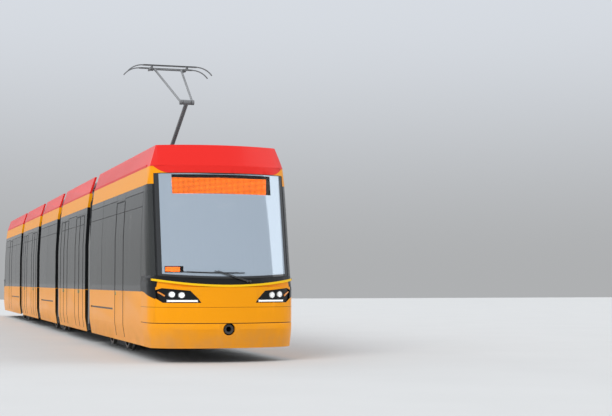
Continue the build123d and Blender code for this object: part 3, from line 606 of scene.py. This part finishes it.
# A plain finish is given its colour, roughness, share of dark speckle, the speckle's scale, and relief
finishes = {
    "sidePaint": paintFinish("sidePaint", sideColours),
    "endPaint": paintFinish("endPaint", endColours),
    "roofPaint": paintFinish("roofPaint", roofColours),
    "doorPaint": paintFinish("doorPaint", sideColours),
    "glass": glassFinish("glass"),
    "floorCover": plainFinish("floorCover", (0.10, 0.105, 0.11), 0.65, 0.3, 90.0, 0.1),
    "seatShell": mappedFinish("seatShell", seatColours, 0.42),
    "seatCloth": fabricFinish("seatCloth", (0.020, 0.045, 0.16), (0.045, 0.10, 0.30), 60.0),
    "roofUnit": plainFinish("roofUnit", (0.36, 0.37, 0.38), 0.5, 0.15, 3.0),
    "hoodFabric": plainFinish("hoodFabric", (0.030, 0.031, 0.033), 0.75, 0.3, 45.0, 0.2),
    "bogiePaint": plainFinish("bogiePaint", (0.055, 0.055, 0.058), 0.6, 0.35, 6.0, 0.1),
    "wheelSteel": mappedFinish("wheelSteel", wheelColours, 0.42, Metallic=0.8),
    "cabTrim": plainFinish("cabTrim", (0.05, 0.052, 0.056), 0.6, 0.1, 120.0, 0.1),
    "armPaint": plainFinish("armPaint", (0.22, 0.225, 0.23), 0.45, 0.2, 12.0),
    "basePaint": mappedFinish("basePaint", baseColours, 0.35),
    "headPaint": mappedFinish("headPaint", headColours, 0.5),
    "rubber": plainFinish("rubber", (0.016, 0.016, 0.017), 0.6, 0.2, 80.0, 0.1),
    "steel": plainFinish("steel", (0.46, 0.46, 0.47), 0.35, 0.15, 40.0, Metallic=0.9),
    "lampGlass": plainFinish("lampGlass", (0.85, 0.88, 0.92), 0.12, Emission_Color=(1, 0.97, 0.9, 1),
                             Emission_Strength=0.55, Coat_Weight=1.0),
    "tailGlass": plainFinish("tailGlass", (0.55, 0.010, 0.008), 0.15, Emission_Color=(1, 0.03, 0.02, 1),
                             Emission_Strength=0.35, Coat_Weight=1.0),
    "amberGlass": plainFinish("amberGlass", (0.85, 0.26, 0.010), 0.15, Coat_Weight=1.0),
    "greenGlass": plainFinish("greenGlass", (0.04, 0.42, 0.10), 0.2, Coat_Weight=0.5),
    "roofLight": plainFinish("roofLight", (0.9, 0.9, 0.88), 0.3, Emission_Color=(1, 0.98, 0.94, 1),
                             Emission_Strength=1.2),
    "ledBoard": ledFinish("ledBoard", 0.020, (1.0, 0.17, 0.012), 4.0),
    "ledSmall": ledFinish("ledSmall", 0.010, (1.0, 0.16, 0.015), 6.0),
    "screenGlass": plainFinish("screenGlass", (0.02, 0.03, 0.05), 0.12),
}
print("finishes made:", len(finishes))

# Which finish each CAD piece takes: start of the node's name, finish, width of its rounded edges
dressing = {
    "walls": ("sidePaint", 0.003),
    "roof": ("roofPaint", 0.006),
    "floor": ("floorCover", 0.003),
    "glazing": ("glass", 0.001),
    "seats": ("seatShell", 0.008),
    "roof_gear": ("roofUnit", 0.010),
    "doors": ("doorPaint", 0.004),
    "end_shell": ("endPaint", 0.004),
    "lamps_a": ("lampGlass", 0.003),
    "lamps_e": ("tailGlass", 0.003),
    "cab": ("cabTrim", 0.006),
    "bogie": ("bogiePaint", 0.004),
    "underframe": ("bogiePaint", 0.004),
    "wheelset": ("wheelSteel", 0.003),
    "pantograph": ("armPaint", 0.002),
    "pantograph_base": ("basePaint", 0.002),
    "pantograph_head": ("headPaint", 0.002),
}


flatWithin = 0.4    # degrees: triangles this near to one plane become one face


def finishOf(node):
    # the longest entry that the node's name starts with
    return dressing[max((key for key in dressing if node.startswith(key)), key=len)]


def smoothBy(mesh, degrees):
    mesh.shade_smooth()
    mesh.set_sharp_from_angle(angle=radians(degrees))


def newPiece(name, bm, finish, body, smooth=35, weld=0.00005):
    # a finished mesh as a piece that rides on a body
    if weld:
        bmesh.ops.remove_doubles(bm, verts=bm.verts, dist=weld)
    mesh = bpy.data.meshes.new(name)
    bm.to_mesh(mesh)
    bm.free()
    smoothBy(mesh, smooth)
    piece = bpy.data.objects.new(name, mesh)
    bpy.context.scene.collection.objects.link(piece)
    mesh.materials.append(finishes[finish])
    if body:
        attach(piece, body)
    return piece


def roundEdges(piece, width, degrees=32):
    bevel = piece.modifiers.new("roundedEdges", "BEVEL")
    bevel.width = width
    bevel.segments = 2
    bevel.limit_method = "ANGLE"
    bevel.angle_limit = radians(degrees)
    bevel.harden_normals = True
    return piece


def dress(node):
    # the node's own shape, merged, with rounded edges and its finish
    finish, width = finishOf(node)
    bm = meshOf(node)
    bmesh.ops.dissolve_limit(bm, angle_limit=radians(flatWithin), verts=bm.verts, edges=bm.edges)
    piece = newPiece(f"{node}.finished", bm, finish, frame["nodes"][node]["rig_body"])
    roundEdges(piece, width)
    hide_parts(node)
    return piece


dressed = {node: dress(node) for node in sorted(frame["nodes"]) if not node.startswith("bellows")}
print("pieces dressed:", len(dressed))


# Ways of making that several pieces share
def addBox(bm, low, high, edge=0.003, segments=2):
    # a box between two corners with its edges rounded
    low, high = Vector(low), Vector(high)
    corners = bmesh.ops.create_cube(bm, size=1.0)["verts"]
    bmesh.ops.scale(bm, vec=high - low, verts=corners)
    bmesh.ops.translate(bm, vec=(low + high) / 2, verts=corners)
    if edge:
        edges = list({e for v in corners for e in v.link_edges})
        bmesh.ops.bevel(bm, geom=edges, offset=edge, segments=segments, profile=0.5,
                        affect="EDGES", material=-1)


turns = {"x": Matrix.Rotation(pi / 2, 4, "Y"), "y": Matrix.Rotation(pi / 2, 4, "X"), "z": Matrix.Identity(4)}


def addDrum(bm, centre, axis, radius, depth, tip=1.0, sides=24):
    # a drum or, with tip under 1, a tapered one
    matrix = Matrix.Translation(centre) @ turns[axis]
    bmesh.ops.create_cone(bm, cap_ends=True, segments=sides, radius1=radius, radius2=radius * tip,
                          depth=depth, matrix=matrix)


def tubes(name, routes, radius, finish, body, closed=False, smooth=60):
    # round bars along routes, one piece
    curve = bpy.data.curves.new(name, "CURVE")
    curve.dimensions = "3D"
    curve.bevel_depth = radius
    curve.bevel_resolution = 1
    curve.use_fill_caps = True
    for route in routes:
        spline = curve.splines.new("POLY")
        spline.points.add(len(route) - 1)
        for point, place in zip(spline.points, route):
            point.co = (*place, 1)
        spline.use_cyclic_u = closed
    holder = bpy.data.objects.new(name, curve)
    bpy.context.scene.collection.objects.link(holder)
    made = bpy.data.meshes.new_from_object(holder.evaluated_get(bpy.context.evaluated_depsgraph_get()))
    bm = bmesh.new()
    bm.from_mesh(made)
    bpy.data.objects.remove(holder)
    bpy.data.meshes.remove(made)
    return newPiece(name, bm, finish, body, smooth)


def stepsBetween(start, end, count):
    return [start + (end - start) * i / count for i in range(count + 1)]


def middles(start, end, count):
    # the middles of so many equal stretches
    return [start + (end - start) * (i + 0.5) / count for i in range(count)]


def ringRoute(centre, radius, count, axes="yz"):
    # points round a circle in the plane of two axes
    route = []
    for i in range(count):
        turn = 2 * pi * i / count
        point = Vector(centre)
        setattr(point, axes[0], getattr(point, axes[0]) + radius * cos(turn))
        setattr(point, axes[1], getattr(point, axes[1]) + radius * sin(turn))
        route.append(point)
    return route


def turned(points, way):
    # the same places at the tram's other end when way is -1
    return [Vector((way * p[0], p[1], p[2])) for p in points]


# Pleated gangway hoods between two sections
hood = {
    "folds": 16,
    "half": 1.040,
    "top": 3.010,
    "bottom": 0.275,
    "corner": 0.20,
    "cornerSteps": 6,
    "swell": 1.036,
    "cloth": 0.008,
}


def archEdges(bm, x, half, top):
    # a wire arch: up one side, round two corners and down the other
    corner = hood["corner"]
    last = bmesh.ops.create_vert(bm, co=(x, -half, hood["bottom"]))["vert"][0]

    def run(vec):
        nonlocal last
        made = bmesh.ops.extrude_vert_indiv(bm, verts=[last])
        last = made["verts"][0]
        bmesh.ops.translate(bm, vec=vec, verts=[last])

    def bend(centre, angle):
        nonlocal last
        made = bmesh.ops.spin(bm, geom=[last], cent=centre, axis=(1, 0, 0), angle=angle,
                              steps=hood["cornerSteps"])
        last = next(g for g in made["geom_last"] if isinstance(g, bmesh.types.BMVert))

    run((0, 0, top - corner - hood["bottom"]))
    bend((x, corner - half, top - corner), -pi / 2)
    run((0, 2 * (half - corner), 0))
    bend((x, half - corner, top - corner), -pi / 2)
    run((0, 0, hood["bottom"] - top + corner))
    return list(bm.edges)


def makeHood(pair):
    # rear and front, the bodies at its low-x and its high-x end, are not used
    node = f"bellows_{pair}"
    low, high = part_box(node)
    bm = bmesh.new()
    edges = archEdges(bm, low.x, hood["half"], hood["top"])
    stations = 2 * hood["folds"]
    pitch = (high.x - low.x) / stations
    for station in range(1, stations + 1):
        made = bmesh.ops.extrude_edge_only(bm, edges=edges)["geom"]
        verts = [g for g in made if isinstance(g, bmesh.types.BMVert)]
        edges = [g for g in made if isinstance(g, bmesh.types.BMEdge)]
        bmesh.ops.translate(bm, vec=(pitch, 0, 0), verts=verts)
        swell = hood["swell"] if station % 2 else 1 / hood["swell"]
        rise = 1 + (swell - 1) * hood["half"] / (hood["top"] - hood["bottom"])
        centre = Matrix.Translation((0, 0, -hood["bottom"]))
        bmesh.ops.scale(bm, vec=(1, swell, rise), space=centre, verts=verts)
    bmesh.ops.recalc_face_normals(bm, faces=bm.faces)
    if sum(f.normal.y * f.calc_center_median().y for f in bm.faces) < 0:
        bmesh.ops.reverse_faces(bm, faces=bm.faces)
    piece = newPiece(f"hood.{pair}", bm, "hoodFabric", None, smooth=25)
    wall = piece.modifiers.new("cloth", "SOLIDIFY")
    wall.thickness = hood["cloth"]
    wall.offset = -1.0
    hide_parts(node)
    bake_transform(piece)


gangways = {"de": ("section_e", "section_d"), "cd": ("section_d", "section_c"),
            "bc": ("section_c", "section_b"), "ab": ("section_b", "section_a")}
for pair, (rear, front) in gangways.items():
    makeHood(pair)
print("gangway hoods made")


# Rubber and trim on the moulded ends
screenEdge = {
    "low": 1.300,
    "bow": 0.0408,
    "top": 2.960,
    "half": 1.050,
    "seal": 0.006,
    "proud": 0.001,
    "stepsAcross": 24,
    "stepsUp": 12,
}


def screenRoute():
    # round the windscreen's edge: along the bowed bottom, up, back along the top and down
    s = screenEdge
    widths = stepsBetween(-s["half"], s["half"], s["stepsAcross"])
    bottom = [(y, s["low"] + s["bow"] * y * y) for y in widths]
    heights = stepsBetween(bottom[-1][1], s["top"], s["stepsUp"])[1:]
    right = [(s["half"], z) for z in heights]
    top = [(y, s["top"]) for y in widths[::-1]][1:]
    left = [(-s["half"], z) for z in heights[::-1]][1:]
    return [noseAt(y, z, s["proud"]) for y, z in bottom + right + top + left]


lampPlan = {
    "rounds": [(0.720, 1.045), (0.860, 1.055)],
    "roundRadius": 0.045,
    "bezel": 0.005,
    "bezelProud": 0.002,
    "innerRadius": 0.026,
    "innerBezel": 0.002,
    "ringSteps": 24,
    "strip": (0.484, 0.926, 0.940, 0.970),
    "stripRim": 0.0035,
    "stripSteps": 12,
    "proud": 0.001,
    "amber": [(0.955, 1.030), (1.000, 1.062), (1.045, 1.090)],
    "amberRadius": 0.013,
    "amberProud": 0.010,
}


def makeLampTrim(section, way):
    plan = lampPlan
    rims, inner, strips, ambers = [], [], [], []
    rings = [(plan["roundRadius"], plan["bezelProud"], rims), (plan["innerRadius"], plan["proud"], inner)]
    for side in (-1, 1):
        for y, z in plan["rounds"]:
            for radius, proud, kept in rings:
                ring = [noseAt(p.y, p.z, proud, lampFronts)
                        for p in ringRoute((0, side * y, z), radius, plan["ringSteps"])]
                kept.append(turned(ring, way))
        y0, y1, z0, z1 = plan["strip"]
        widths = stepsBetween(y0, y1, plan["stripSteps"])
        outline = [(y, z0) for y in widths] + [(y, z1) for y in widths[::-1]]
        strips.append(turned([noseAt(side * y, z, plan["proud"], lampFronts) for y, z in outline], way))
        ambers.append(turned([noseAt(side * y, z, plan["amberProud"]) for y, z in plan["amber"]], way))
    body = f"section_{section}"
    tubes(f"lampRims.{section}", rims, plan["bezel"], "steel", body, closed=True)
    tubes(f"lampRings.{section}", inner, plan["innerBezel"], "rubber", body, closed=True)
    tubes(f"stripRims.{section}", strips, plan["stripRim"], "rubber", body, closed=True)
    tubes(f"indicators.{section}", ambers, plan["amberRadius"], "amberGlass", body)


wiper = {
    "pivot": (0.30, 1.255),
    "elbow": (-0.22, 1.420),
    "blade": (-0.74, 0.26),
    "bladeLow": 1.385,
    "bladeBow": 0.04,
    "bladeProud": 0.010,
    "bladeRadius": 0.007,
    "bladeSteps": 12,
    "spineUp": 0.006,
    "spineIn": 0.1,
    "spineProud": 0.022,
    "spineSteps": 8,
    "armStart": 0.020,
    "armProud": 0.026,
    "armGap": 0.050,
    "armRadius": 0.006,
    "armSteps": 6,
    "pivotProud": 0.010,
    "pivotDrum": (0.020, 0.030, 0.8),   # radius, depth, tip
}


def makeWiper():
    # two parallel arms and a long blade parked low on the windscreen
    w = wiper
    bow = w["bladeBow"]
    blade = [noseAt(y, w["bladeLow"] + bow * y * y, w["bladeProud"])
             for y in stepsBetween(*w["blade"], w["bladeSteps"])]
    start, end = w["blade"]
    spine = [noseAt(y, w["bladeLow"] + bow * y * y + w["spineUp"], w["spineProud"])
             for y in stepsBetween(start + w["spineIn"], end - w["spineIn"], w["spineSteps"])]
    (y0, z0), (y1, z1) = w["pivot"], w["elbow"]
    widths = stepsBetween(y0, y1, w["armSteps"])
    heights = stepsBetween(z0, z1, w["armSteps"])
    lifts = stepsBetween(w["armStart"], w["armProud"], w["armSteps"])
    arms = [[noseAt(y + shift, z) + Vector((up, 0, 0)) for y, z, up in zip(widths, heights, lifts)]
            for shift in (0.0, w["armGap"])]
    tubes("wiperBlade", [blade], w["bladeRadius"], "rubber", "section_a")
    tubes("wiperArms", arms + [spine], w["armRadius"], "cabTrim", "section_a")
    bm = bmesh.new()
    for shift in (0.0, w["armGap"]):
        foot = noseAt(y0 + shift, z0, w["pivotProud"])
        addDrum(bm, foot, "x", *w["pivotDrum"])
    newPiece("wiperPivots", bm, "cabTrim", "section_a")


for section, way in ends.items():
    tubes(f"screenSeal.{section}", [turned(screenRoute(), way)], screenEdge["seal"], "rubber",
          f"section_{section}", closed=True)
    makeLampTrim(section, way)
makeWiper()
print("ends trimmed")


# Driver's cab: the display board behind the windscreen, a number board, and what stands on the desk
cab = {
    "board": ((14.331, -0.78, 2.640), (14.336, 0.78, 2.930)),
    "boardRim": 0.012,
    "boardEdge": 0.0015,
    "smallBoard": (-0.93, -0.70, 1.405, 1.480),
    "smallBack": 0.045,
    "smallThick": 0.004,
    "smallEdge": 0.001,
    "caseDepths": (0.03, 0.005),        # its back and its front behind the number board's face
    "caseMargin": 0.012,
    "caseEdge": 0.004,
    "screens": [(-0.46, -0.16), (-0.12, 0.18), (0.22, 0.52)],
    "screenSize": (13.98, 1.135, 1.330),
    "screenThick": 0.045,
    "screenEdge": 0.008,
    "glassInset": 0.02,
    "glassThick": 0.003,
    "glassEdge": 0.001,
    "levers": [(13.86, -0.56), (13.86, 0.60)],
    # a lever's foot, stem and knob: height of the middle, radius, depth, tip
    "leverDrums": [(1.145, 0.045, 0.03, 0.8), (1.200, 0.010, 0.09, 1.0), (1.255, 0.022, 0.045, 0.9)],
}


def makeCabFittings():
    c = cab
    low, high = (Vector(corner) for corner in c["board"])
    bm = bmesh.new()
    addBox(bm, low, high, c["boardEdge"])
    newPiece("displayBoard", bm, "ledBoard", "section_a")
    rim = [(high.x, low.y, low.z), (high.x, high.y, low.z), (high.x, high.y, high.z), (high.x, low.y, high.z)]
    tubes("displayRim", [rim], c["boardRim"], "cabTrim", "section_a", closed=True, smooth=30)
    y0, y1, z0, z1 = c["smallBoard"]
    x = min(noseAt(y0, z1).x, noseAt(y1, z1).x) - c["smallBack"]
    bm = bmesh.new()
    addBox(bm, (x - c["smallThick"], y0, z0), (x, y1, z1), c["smallEdge"])
    newPiece("numberBoard", bm, "ledSmall", "section_a")
    bm = bmesh.new()
    margin = c["caseMargin"]
    caseBack, caseFront = c["caseDepths"]
    addBox(bm, (x - caseBack, y0 - margin, z0 - margin), (x - caseFront, y1 + margin, z1 + margin),
           c["caseEdge"])
    newPiece("numberBoardCase", bm, "cabTrim", "section_a")
    back, bottom, top = c["screenSize"]
    inset = c["glassInset"]
    cases, glasses = bmesh.new(), bmesh.new()
    for y0, y1 in c["screens"]:
        addBox(cases, (back, y0, bottom), (back + c["screenThick"], y1, top), c["screenEdge"])
        addBox(glasses, (back - c["glassThick"], y0 + inset, bottom + inset), (back, y1 - inset, top - inset),
               c["glassEdge"])
    newPiece("deskScreens", cases, "cabTrim", "section_a")
    newPiece("deskScreenGlass", glasses, "screenGlass", "section_a")
    bm = bmesh.new()
    for x, y in c["levers"]:
        for z, radius, depth, tip in c["leverDrums"]:
            addDrum(bm, (x, y, z), "z", radius, depth, tip)
    newPiece("deskLevers", bm, "cabTrim", "section_a")


makeCabFittings()
print("cab fitted")


# Glass band: hopper bars, door seals and door buttons
band = {
    "hopperZ": 2.455,
    "hopperHeight": 0.012,
    "hopperIn": 0.004,
    "hopperSunk": 0.003,
    "hopperProud": 0.0035,
    "hopperEdge": 0.0015,
    "upperZ": 2.690,
    "topMargin": 0.03,
    # a pane takes bars if it starts at the belt, is this wide and lies on one side alone
    "beltMargin": 0.01,
    "narrowPane": 0.40,
    "deepPane": 0.3,
    "sealRadius": 0.006,
    "sealIn": 0.002,
    "sealCast": 0.006,      # the leaf's face is read this far from its edge
    "sealHeights": [0.302, 0.52, 0.9, 1.17, 2.0, 2.40, 2.636],
    "buttonZ": 1.045,
    "buttonIn": 0.085,
    "leafGap": 0.05,        # leaves nearer than this meet
    "ringDrum": (0.034, 0.008),
    "buttonDrum": (0.024, 0.012, 0.9),
}


def makeHopperBars(section, body):
    b = band
    bars = bmesh.new()
    for island in islandsOf(f"glazing_{section}"):
        low, high = boxOf(island)
        wide = high.x - low.x >= b["narrowPane"] and high.y - low.y <= b["deepPane"]
        if low.z > belt + b["beltMargin"] or not wide:
            continue
        side = 1 if low.y > 0 else -1
        for z in (b["hopperZ"], b["upperZ"]):
            face = sideAt(section, (low.x + high.x) / 2, z, side)
            if face and z < high.z - b["topMargin"]:
                y0, y1 = sorted((face.y - side * b["hopperSunk"], face.y + side * b["hopperProud"]))
                addBox(bars, (low.x + b["hopperIn"], y0, z - b["hopperHeight"] / 2),
                       (high.x - b["hopperIn"], y1, z + b["hopperHeight"] / 2), b["hopperEdge"], 1)
    newPiece(f"hopperBars.{section}", bars, "rubber", body)


def makeDoorTrim(section, body):
    # rubber down both edges of each leaf, and a button on it
    b = band
    seals = []
    buttons, rings = bmesh.new(), bmesh.new()
    leaves = [boxOf(island) for island in islandsOf(f"doors_{section}")]
    for low, high in leaves:
        for x, way in ((low.x + b["sealIn"], 1), (high.x - b["sealIn"], -1)):
            inner = x + way * b["sealCast"]
            seals.append([Vector((x, sideAt(section, inner, z, -1).y, z)) for z in b["sealHeights"]])
        meets = [other for other in leaves
                 if other[0] != low and abs(other[0].x - high.x) < b["leafGap"]]
        x = high.x - b["buttonIn"] if meets else low.x + b["buttonIn"]
        place = Vector((x, sideAt(section, x, b["buttonZ"], -1).y, b["buttonZ"]))
        addDrum(rings, place, "y", *b["ringDrum"])
        addDrum(buttons, place, "y", *b["buttonDrum"])
    tubes(f"doorSeals.{section}", seals, b["sealRadius"], "rubber", body)
    newPiece(f"buttonRings.{section}", rings, "greenGlass", body)
    newPiece(f"buttons.{section}", buttons, "steel", body)


for section in sections:
    makeHopperBars(section, f"section_{section}")
    if f"doors_{section}" in frame["nodes"]:
        makeDoorTrim(section, f"section_{section}")
print("glass band fitted")


# Saloon: seat pads, overhead rails and ceiling lights
saloon = {
    "padHalf": 0.19,
    "padLength": 0.36,
    "padThickness": 0.030,
    "padCuts": 3,
    "crown": 0.012,
    "pull": 0.04,
    "narrowSeat": 0.2,
    "crest": 0.01,          # a shell's points this near its top give its back's place
    "seatDrop": 0.47,       # from the shell's top down to the seat
    "backFoot": 0.06,       # from the back's top to its foot, along X
    "panOut": 0.235,
    "backHeight": 0.34,
    "backOut": 0.005,
    "backDrop": 0.205,
    "backLean": 7.3,
    "railY": 0.575,
    "railZ": 2.22,
    "railIn": 0.25,
    "railRadius": 0.015,
    "lightY": 0.42,
    "lightZ": 2.552,
    "lightWidth": 0.10,
    "lightIn": 0.3,
    "lightDown": 0.012,
    "lightUp": 0.004,
    "lightEdge": 0.004,
}


def addPad(bm, matrix, length, half, thickness):
    # a crowned pad: its sides pull in between its corners
    pad = bmesh.new()
    bmesh.ops.create_cube(pad, size=1.0)
    bmesh.ops.scale(pad, vec=(length, 2 * half, thickness), verts=pad.verts)
    bmesh.ops.subdivide_edges(pad, edges=pad.edges, cuts=saloon["padCuts"], use_grid_fill=True)
    for v in pad.verts:
        across = 1 - (2 * v.co.x / length) ** 2
        along = 1 - (v.co.y / half) ** 2
        v.co.z += saloon["crown"] * across * along * (1 if v.co.z > 0 else 0)
        v.co.x *= 1 - saloon["pull"] * along
        v.co.y *= 1 - saloon["pull"] * across
    bmesh.ops.transform(pad, matrix=matrix, verts=pad.verts)
    made = bpy.data.meshes.new("pad")
    pad.to_mesh(made)
    pad.free()
    bm.from_mesh(made)
    bpy.data.meshes.remove(made)


def makePads(section):
    # a pad on the pan and on the back of each seat shell
    s = saloon
    bm = bmesh.new()
    for island in islandsOf(f"seats_{section}"):
        low, high = boxOf(island)
        if high.y - low.y < s["narrowSeat"]:
            continue
        crest = [p.x for p in island if p.z > high.z - s["crest"]]
        back = sum(crest) / len(crest)
        way = 1 if back < (low.x + high.x) / 2 else -1
        y = (low.y + high.y) / 2
        seatTop = high.z - s["seatDrop"]
        foot = back + way * s["backFoot"]
        pan = Matrix.Translation((foot + way * s["panOut"], y, seatTop + s["padThickness"] / 2))
        addPad(bm, pan, s["padLength"], s["padHalf"], s["padThickness"])
        lean = Matrix.Rotation(way * radians(90 - s["backLean"]), 4, "Y")
        rest = Matrix.Translation((foot + way * s["backOut"], y, high.z - s["backDrop"])) @ lean
        addPad(bm, rest, s["backHeight"], s["padHalf"], s["padThickness"])
    pads = newPiece(f"seatPads.{section}", bm, "seatCloth", f"section_{section}", 60)
    soft = pads.modifiers.new("soft", "SUBSURF")
    soft.levels = 1
    soft.render_levels = 1


def makeCeiling(section):
    # a rail and a strip light along each side
    s = saloon
    low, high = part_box(f"walls_{section}")
    rails = [[(x, side * s["railY"], s["railZ"]) for x in (low.x + s["railIn"], high.x - s["railIn"])]
             for side in (-1, 1)]
    tubes(f"rails.{section}", rails, s["railRadius"], "steel", f"section_{section}")
    bm = bmesh.new()
    half = s["lightWidth"] / 2
    for side in (-1, 1):
        y0, y1 = sorted((side * (s["lightY"] - half), side * (s["lightY"] + half)))
        addBox(bm, (low.x + s["lightIn"], y0, s["lightZ"] - s["lightDown"]),
               (high.x - s["lightIn"], y1, s["lightZ"] + s["lightUp"]), s["lightEdge"])
    newPiece(f"ceilingLights.{section}", bm, "roofLight", f"section_{section}")


for section in sections:
    makePads(section)
    makeCeiling(section)
print("saloon fitted")


# Roof: fan grilles and latches on the boxes, and clamped conduits beside them
roof = {
    "wells": {"a": (2, 0), "b": (0, 2), "c": (3,), "d": (2, 0), "e": (0, 2)},  # on each box, from the rear
    "grilleRings": (0.085, 0.125, 0.165, 0.205, 0.236),
    "ringSteps": 28,
    "spokes": 8,
    "spokeEnd": 0.243,
    "wire": 0.0035,
    "latchPitch": 0.42,
    "latch": (0.045, 0.016, 0.030),     # length, depth, and height each way from the seam
    "latchEdge": 0.003,
    "seamZ": 0.155,
    "conduitY": (0.885, 0.925),
    "conduitRadius": 0.014,
    "conduitUp": 0.035,
    "conduitIn": 0.06,
    "clampPitch": 0.9,
    "clampHalf": 0.015,
    "clampPast": 0.03,
    "clampSunk": 0.001,
    "clampOver": 0.018,
    "clampEdge": 0.003,
}


def fanWires(low, high, wells):
    # rings and spokes over the fan wells of one roof box
    r = roof
    wires = []
    for x in middles(low.x, high.x, wells):
        centre = Vector((x, 0, high.z - r["wire"]))
        for radius in r["grilleRings"]:
            ring = ringRoute(centre, radius, r["ringSteps"], "xy")
            wires.append(ring + ring[:1])
        for k in range(r["spokes"]):
            turn = 2 * pi * k / r["spokes"]
            out = Vector((cos(turn), sin(turn), 0))
            wires.append([centre + out * r["grilleRings"][0], centre + out * r["spokeEnd"]])
    return wires


def addLatches(bm, low, high):
    # latches over the lid's seam, along both sides of one roof box
    r = roof
    length, depth, height = r["latch"]
    z = low.z + r["seamZ"]
    for x in middles(low.x, high.x, int((high.x - low.x) / r["latchPitch"])):
        for y in (low.y, high.y):
            addBox(bm, (x - length / 2, y - depth / 2, z - height),
                   (x + length / 2, y + depth / 2, z + height), r["latchEdge"], 1)


def makeRoof(section):
    r = roof
    body = f"section_{section}"
    wires, latches = [], bmesh.new()
    boxes = [boxOf(island) for island in islandsOf(f"roof_gear_{section}")]
    for (low, high), wells in zip(boxes, r["wells"][section]):
        wires += fanWires(low, high, wells)
        addLatches(latches, low, high)
    newPiece(f"latches.{section}", latches, "steel", body)
    if wires:
        tubes(f"fanGrilles.{section}", wires, r["wire"], "steel", body)
    low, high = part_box(f"walls_{section}")
    z = roofDeck + r["conduitUp"]
    runs = [[(x, side * y, z) for x in (low.x + r["conduitIn"], high.x - r["conduitIn"])]
            for side in (-1, 1) for y in r["conduitY"]]
    tubes(f"conduits.{section}", runs, r["conduitRadius"], "steel", body)
    clamps = bmesh.new()
    inner, outer = r["conduitY"]
    for x in middles(low.x, high.x, int((high.x - low.x) / r["clampPitch"])):
        for side in (-1, 1):
            y0, y1 = sorted((side * (inner - r["clampPast"]), side * (outer + r["clampPast"])))
            addBox(clamps, (x - r["clampHalf"], y0, roofDeck - r["clampSunk"]),
                   (x + r["clampHalf"], y1, z + r["clampOver"]), r["clampEdge"], 1)
    newPiece(f"clamps.{section}", clamps, "bogiePaint", body)


for section in sections:
    makeRoof(section)
print("roof fitted")


# Photograph's view: an eye 1.25 m up beside the track, ahead of the tram and to its right
cameraView = {
    "place": (34.90, -4.89, 1.251),
    "heading": (-0.9556, 0.2947),
    "focalPixels": 1323.0,
    "framePixels": (612, 416),
    "horizonPixel": 281.7,
    "sensor": 36.0,
    "farthest": 500.0,
}


def makeCamera():
    width, height = cameraView["framePixels"]
    camera = bpy.data.objects.new("camera", bpy.data.cameras.new("camera"))
    bpy.context.scene.collection.objects.link(camera)
    camera.data.sensor_width = cameraView["sensor"]
    camera.data.lens = cameraView["sensor"] * cameraView["focalPixels"] / width
    rise = (cameraView["horizonPixel"] - height / 2) / cameraView["focalPixels"]
    gaze = Vector((*cameraView["heading"], rise))
    camera.location = cameraView["place"]
    camera.rotation_euler = gaze.to_track_quat("-Z", "Y").to_euler()
    camera.data.clip_end = cameraView["farthest"]
    bpy.context.scene.camera = camera


# Plain pale floor, a backdrop that is paler higher up, and soft studio light
studio = {
    "floorSize": 120.0,
    "floorTones": ((0.60, 0.60, 0.59), (0.64, 0.64, 0.63)),
    "floorPatches": (0.6, 2.0),
    "horizon": (0.50, 0.51, 0.52),
    "sky": (0.80, 0.84, 0.90),
    "skyRise": 0.22,
    "worldLevel": 0.85,
    "lamps": [
        # where it comes from, level, spread in degrees, whether gloss shows it
        ((0.55, -0.60, 0.65), 1.5, 35.0, False),
        ((-0.70, -0.40, 0.55), 0.5, 50.0, True),
        ((0.10, 0.80, 0.60), 0.7, 50.0, True),
    ],
}


def makeStudio():
    floorFinish = Finish("studioFloor", Roughness=0.9)
    tone = floorFinish.noise(*studio["floorPatches"])
    floorFinish.paint("Base Color", floorFinish.mix(tone, *studio["floorTones"]))
    finishes["studioFloor"] = floorFinish.material
    bm = bmesh.new()
    bmesh.ops.create_grid(bm, x_segments=8, y_segments=8, size=studio["floorSize"] / 2)
    floor = newPiece("studioFloor", bm, "studioFloor", None)
    for number, (source, level, spread, glossy) in enumerate(studio["lamps"]):
        lamp = bpy.data.objects.new(f"softLamp{number}", bpy.data.lights.new(f"softLamp{number}", "SUN"))
        bpy.context.scene.collection.objects.link(lamp)
        lamp.data.angle = radians(spread)
        lamp.data.energy = level
        lamp.visible_glossy = glossy
        lamp.rotation_euler = Vector(source).to_track_quat("Z", "Y").to_euler()
    world = bpy.data.worlds.new("studioSky")
    bpy.context.scene.world = world
    world.use_nodes = True
    sky = Nodes(world.node_tree)
    x, y, z = sky.axes("Generated")
    background = world.node_tree.nodes["Background"]
    colour = sky.mix(z.above(0.0, studio["skyRise"]), studio["horizon"], studio["sky"])
    sky.feed(background.inputs["Color"], colour)
    background.inputs["Strength"].default_value = studio["worldLevel"]


makeCamera()
makeStudio()
bpy.context.scene.view_settings.view_transform = "Standard"
print("camera and studio ready")
